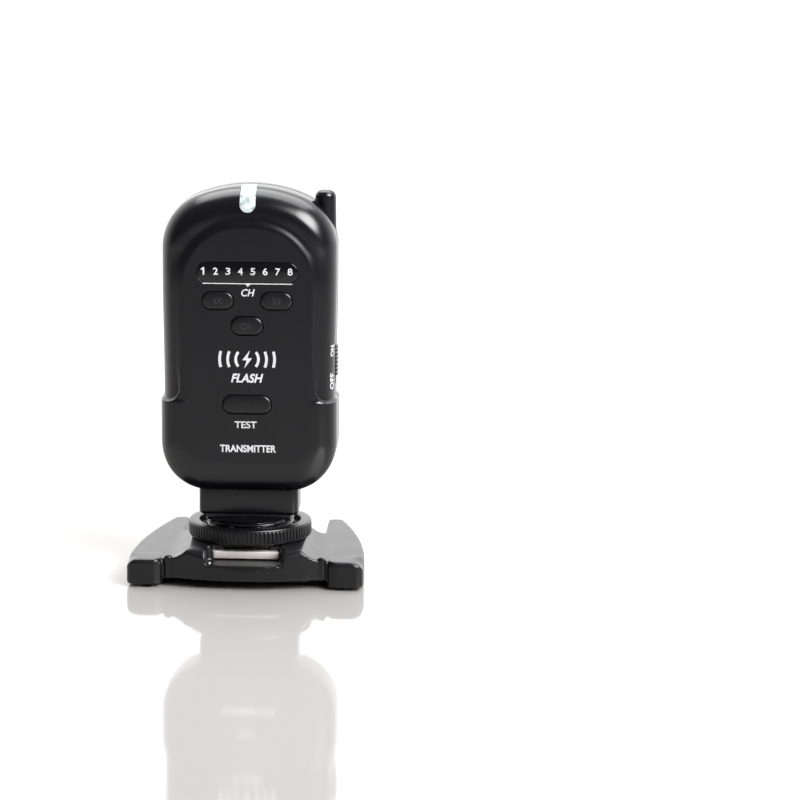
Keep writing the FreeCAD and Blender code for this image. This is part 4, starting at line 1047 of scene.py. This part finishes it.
dress(make_front_shell(), CASE, "case", "front_shell", slot="case_plastic")
dress(make_rear_shell(), CASE, "case", "rear_shell", slot="case_plastic")
dress(make_door(), CASE, "door", "battery_door", slot="case_plastic")
dress(make_lens(), CLEAR, "case", "status_lens", slot="clear_plastic")
dress(make_window(), WINDOW, "case", "channel_window", slot="window_plastic")
dress(make_antenna(), FOOT, "case", "antenna_cap", slot="case_plastic")
dress(make_slider(), KEY, "slider", "power_slider", slot="key_plastic")
for key in KEYS:
    body = key[0].replace("button", "key")
    dress(make_key(*key), KEY, body, key[0], slot="key_plastic")
    if key[0] != "button_test":
        dress(joined(key[0] + "_sign", key_marks(*key[:3])), MARK, body)
dress(face_labels(), INK, "case")
dress(window_labels(), INK, "case")
dress(make_ring(), RING, "ring", "lock_ring", slot="ring_plastic")
dress(make_foot_block(), FOOT, "foot", "foot_block", slot="foot_plastic")
dress(make_foot_plate(), PLATE_PAINTED_REFLECTION, "foot", "foot_plate", slot="plate_metal")
dress(make_stand(), STAND, "stand", "stand_base", slot="stand_plastic")
dress(slot_nubs(), STEEL, "stand")


# ------------------------------------------------------------------ floor, light and camera

def make_floor():
    mesh = bpy.data.meshes.new("floor")
    half = 6.0
    corners = [(-half, -half, 0), (half, -half, 0), (half, half, 0), (-half, half, 0)]
    mesh.from_pydata(corners, [], [(0, 1, 2, 3)])
    floor = bpy.data.objects.new("floor", mesh)
    bpy.context.scene.collection.objects.link(floor)
    material, tree, shader, coords = new_material("floor_white")
    tree.links.new(ramp(tree, noise(tree, coords, 3.0), (0.335, 0.325, 0.315), (0.35, 0.342, 0.333)),
                   shader.inputs["Base Color"])
    tree.links.new(spread(tree, noise(tree, coords, 40.0), 0.045, 0.065), shader.inputs["Roughness"])
    shader.inputs["IOR"].default_value = 1.45
    mesh.materials.append(material)


def make_light(name, place, aim, width, height, watts, colour=(1, 1, 1)):
    """A soft panel that the camera itself doesn't see."""
    data = bpy.data.lights.new(name, "AREA")
    data.shape = "RECTANGLE"
    data.size = width
    data.size_y = height
    data.energy = watts
    data.color = colour
    lamp = bpy.data.objects.new(name, data)
    bpy.context.scene.collection.objects.link(lamp)
    place = Vector(place)
    lamp.location = place
    lamp.rotation_euler = (Vector(aim) - place).to_track_quat("-Z", "Y").to_euler()
    lamp.visible_camera = False


def make_world():
    """White all round, brightest behind the object, dim in front, with a broad soft light at upper right."""
    world = bpy.data.worlds.new("studio")
    world.use_nodes = True
    tree = world.node_tree
    back = tree.nodes["Background"]
    coords = tree.nodes.new("ShaderNodeTexCoord")
    split = tree.nodes.new("ShaderNodeSeparateXYZ")
    tree.links.new(coords.outputs["Generated"], split.inputs["Vector"])
    reach = tree.nodes.new("ShaderNodeMapRange")
    reach.interpolation_type = "SMOOTHSTEP"
    reach.inputs["From Min"].default_value = -0.1
    reach.inputs["From Max"].default_value = 0.8
    reach.inputs["To Min"].default_value = 0.13
    reach.inputs["To Max"].default_value = 1.9
    tree.links.new(split.outputs["Y"], reach.inputs["Value"])
    toward = tree.nodes.new("ShaderNodeVectorMath")
    toward.operation = "DOT_PRODUCT"
    toward.inputs[1].default_value = Vector((0.61, -0.50, 0.61)).normalized()
    tree.links.new(coords.outputs["Generated"], toward.inputs[0])
    lobe = tree.nodes.new("ShaderNodeMapRange")
    lobe.interpolation_type = "SMOOTHERSTEP"
    lobe.inputs["From Min"].default_value = 0.90
    lobe.inputs["From Max"].default_value = 0.998
    lobe.inputs["To Max"].default_value = 21.0
    tree.links.new(toward.outputs["Value"], lobe.inputs["Value"])
    total = tree.nodes.new("ShaderNodeMath")
    tree.links.new(reach.outputs["Result"], total.inputs[0])
    tree.links.new(lobe.outputs["Result"], total.inputs[1])
    tree.links.new(total.outputs["Value"], back.inputs["Strength"])
    back.inputs["Color"].default_value = (1, 1, 1, 1)
    bpy.context.scene.world = world


def make_camera():
    azimuth = math.radians(4.6)
    elevation = math.radians(10.2)
    distance = 1.0
    aim = Vector((0, AXIS_Y * MM, 0.060))
    back = Vector((math.sin(azimuth) * math.cos(elevation), -math.cos(azimuth) * math.cos(elevation),
                   math.sin(elevation)))
    data = bpy.data.cameras.new("camera")
    data.sensor_width = 36.0
    data.lens = 163.6
    data.shift_x = 0.1871
    data.shift_y = -0.0511
    data.clip_end = 50
    camera = bpy.data.objects.new("camera", data)
    bpy.context.scene.collection.objects.link(camera)
    camera.location = aim + back * distance
    camera.rotation_euler = (-back).to_track_quat("-Z", "Y").to_euler()
    bpy.context.scene.camera = camera


make_floor()
make_world()
make_light("overhead", (0.05, 0.25, 0.75), (0, 0, 0.06), 0.9, 0.5, 8.0)
make_camera()
bpy.context.scene.view_settings.view_transform = "Standard"
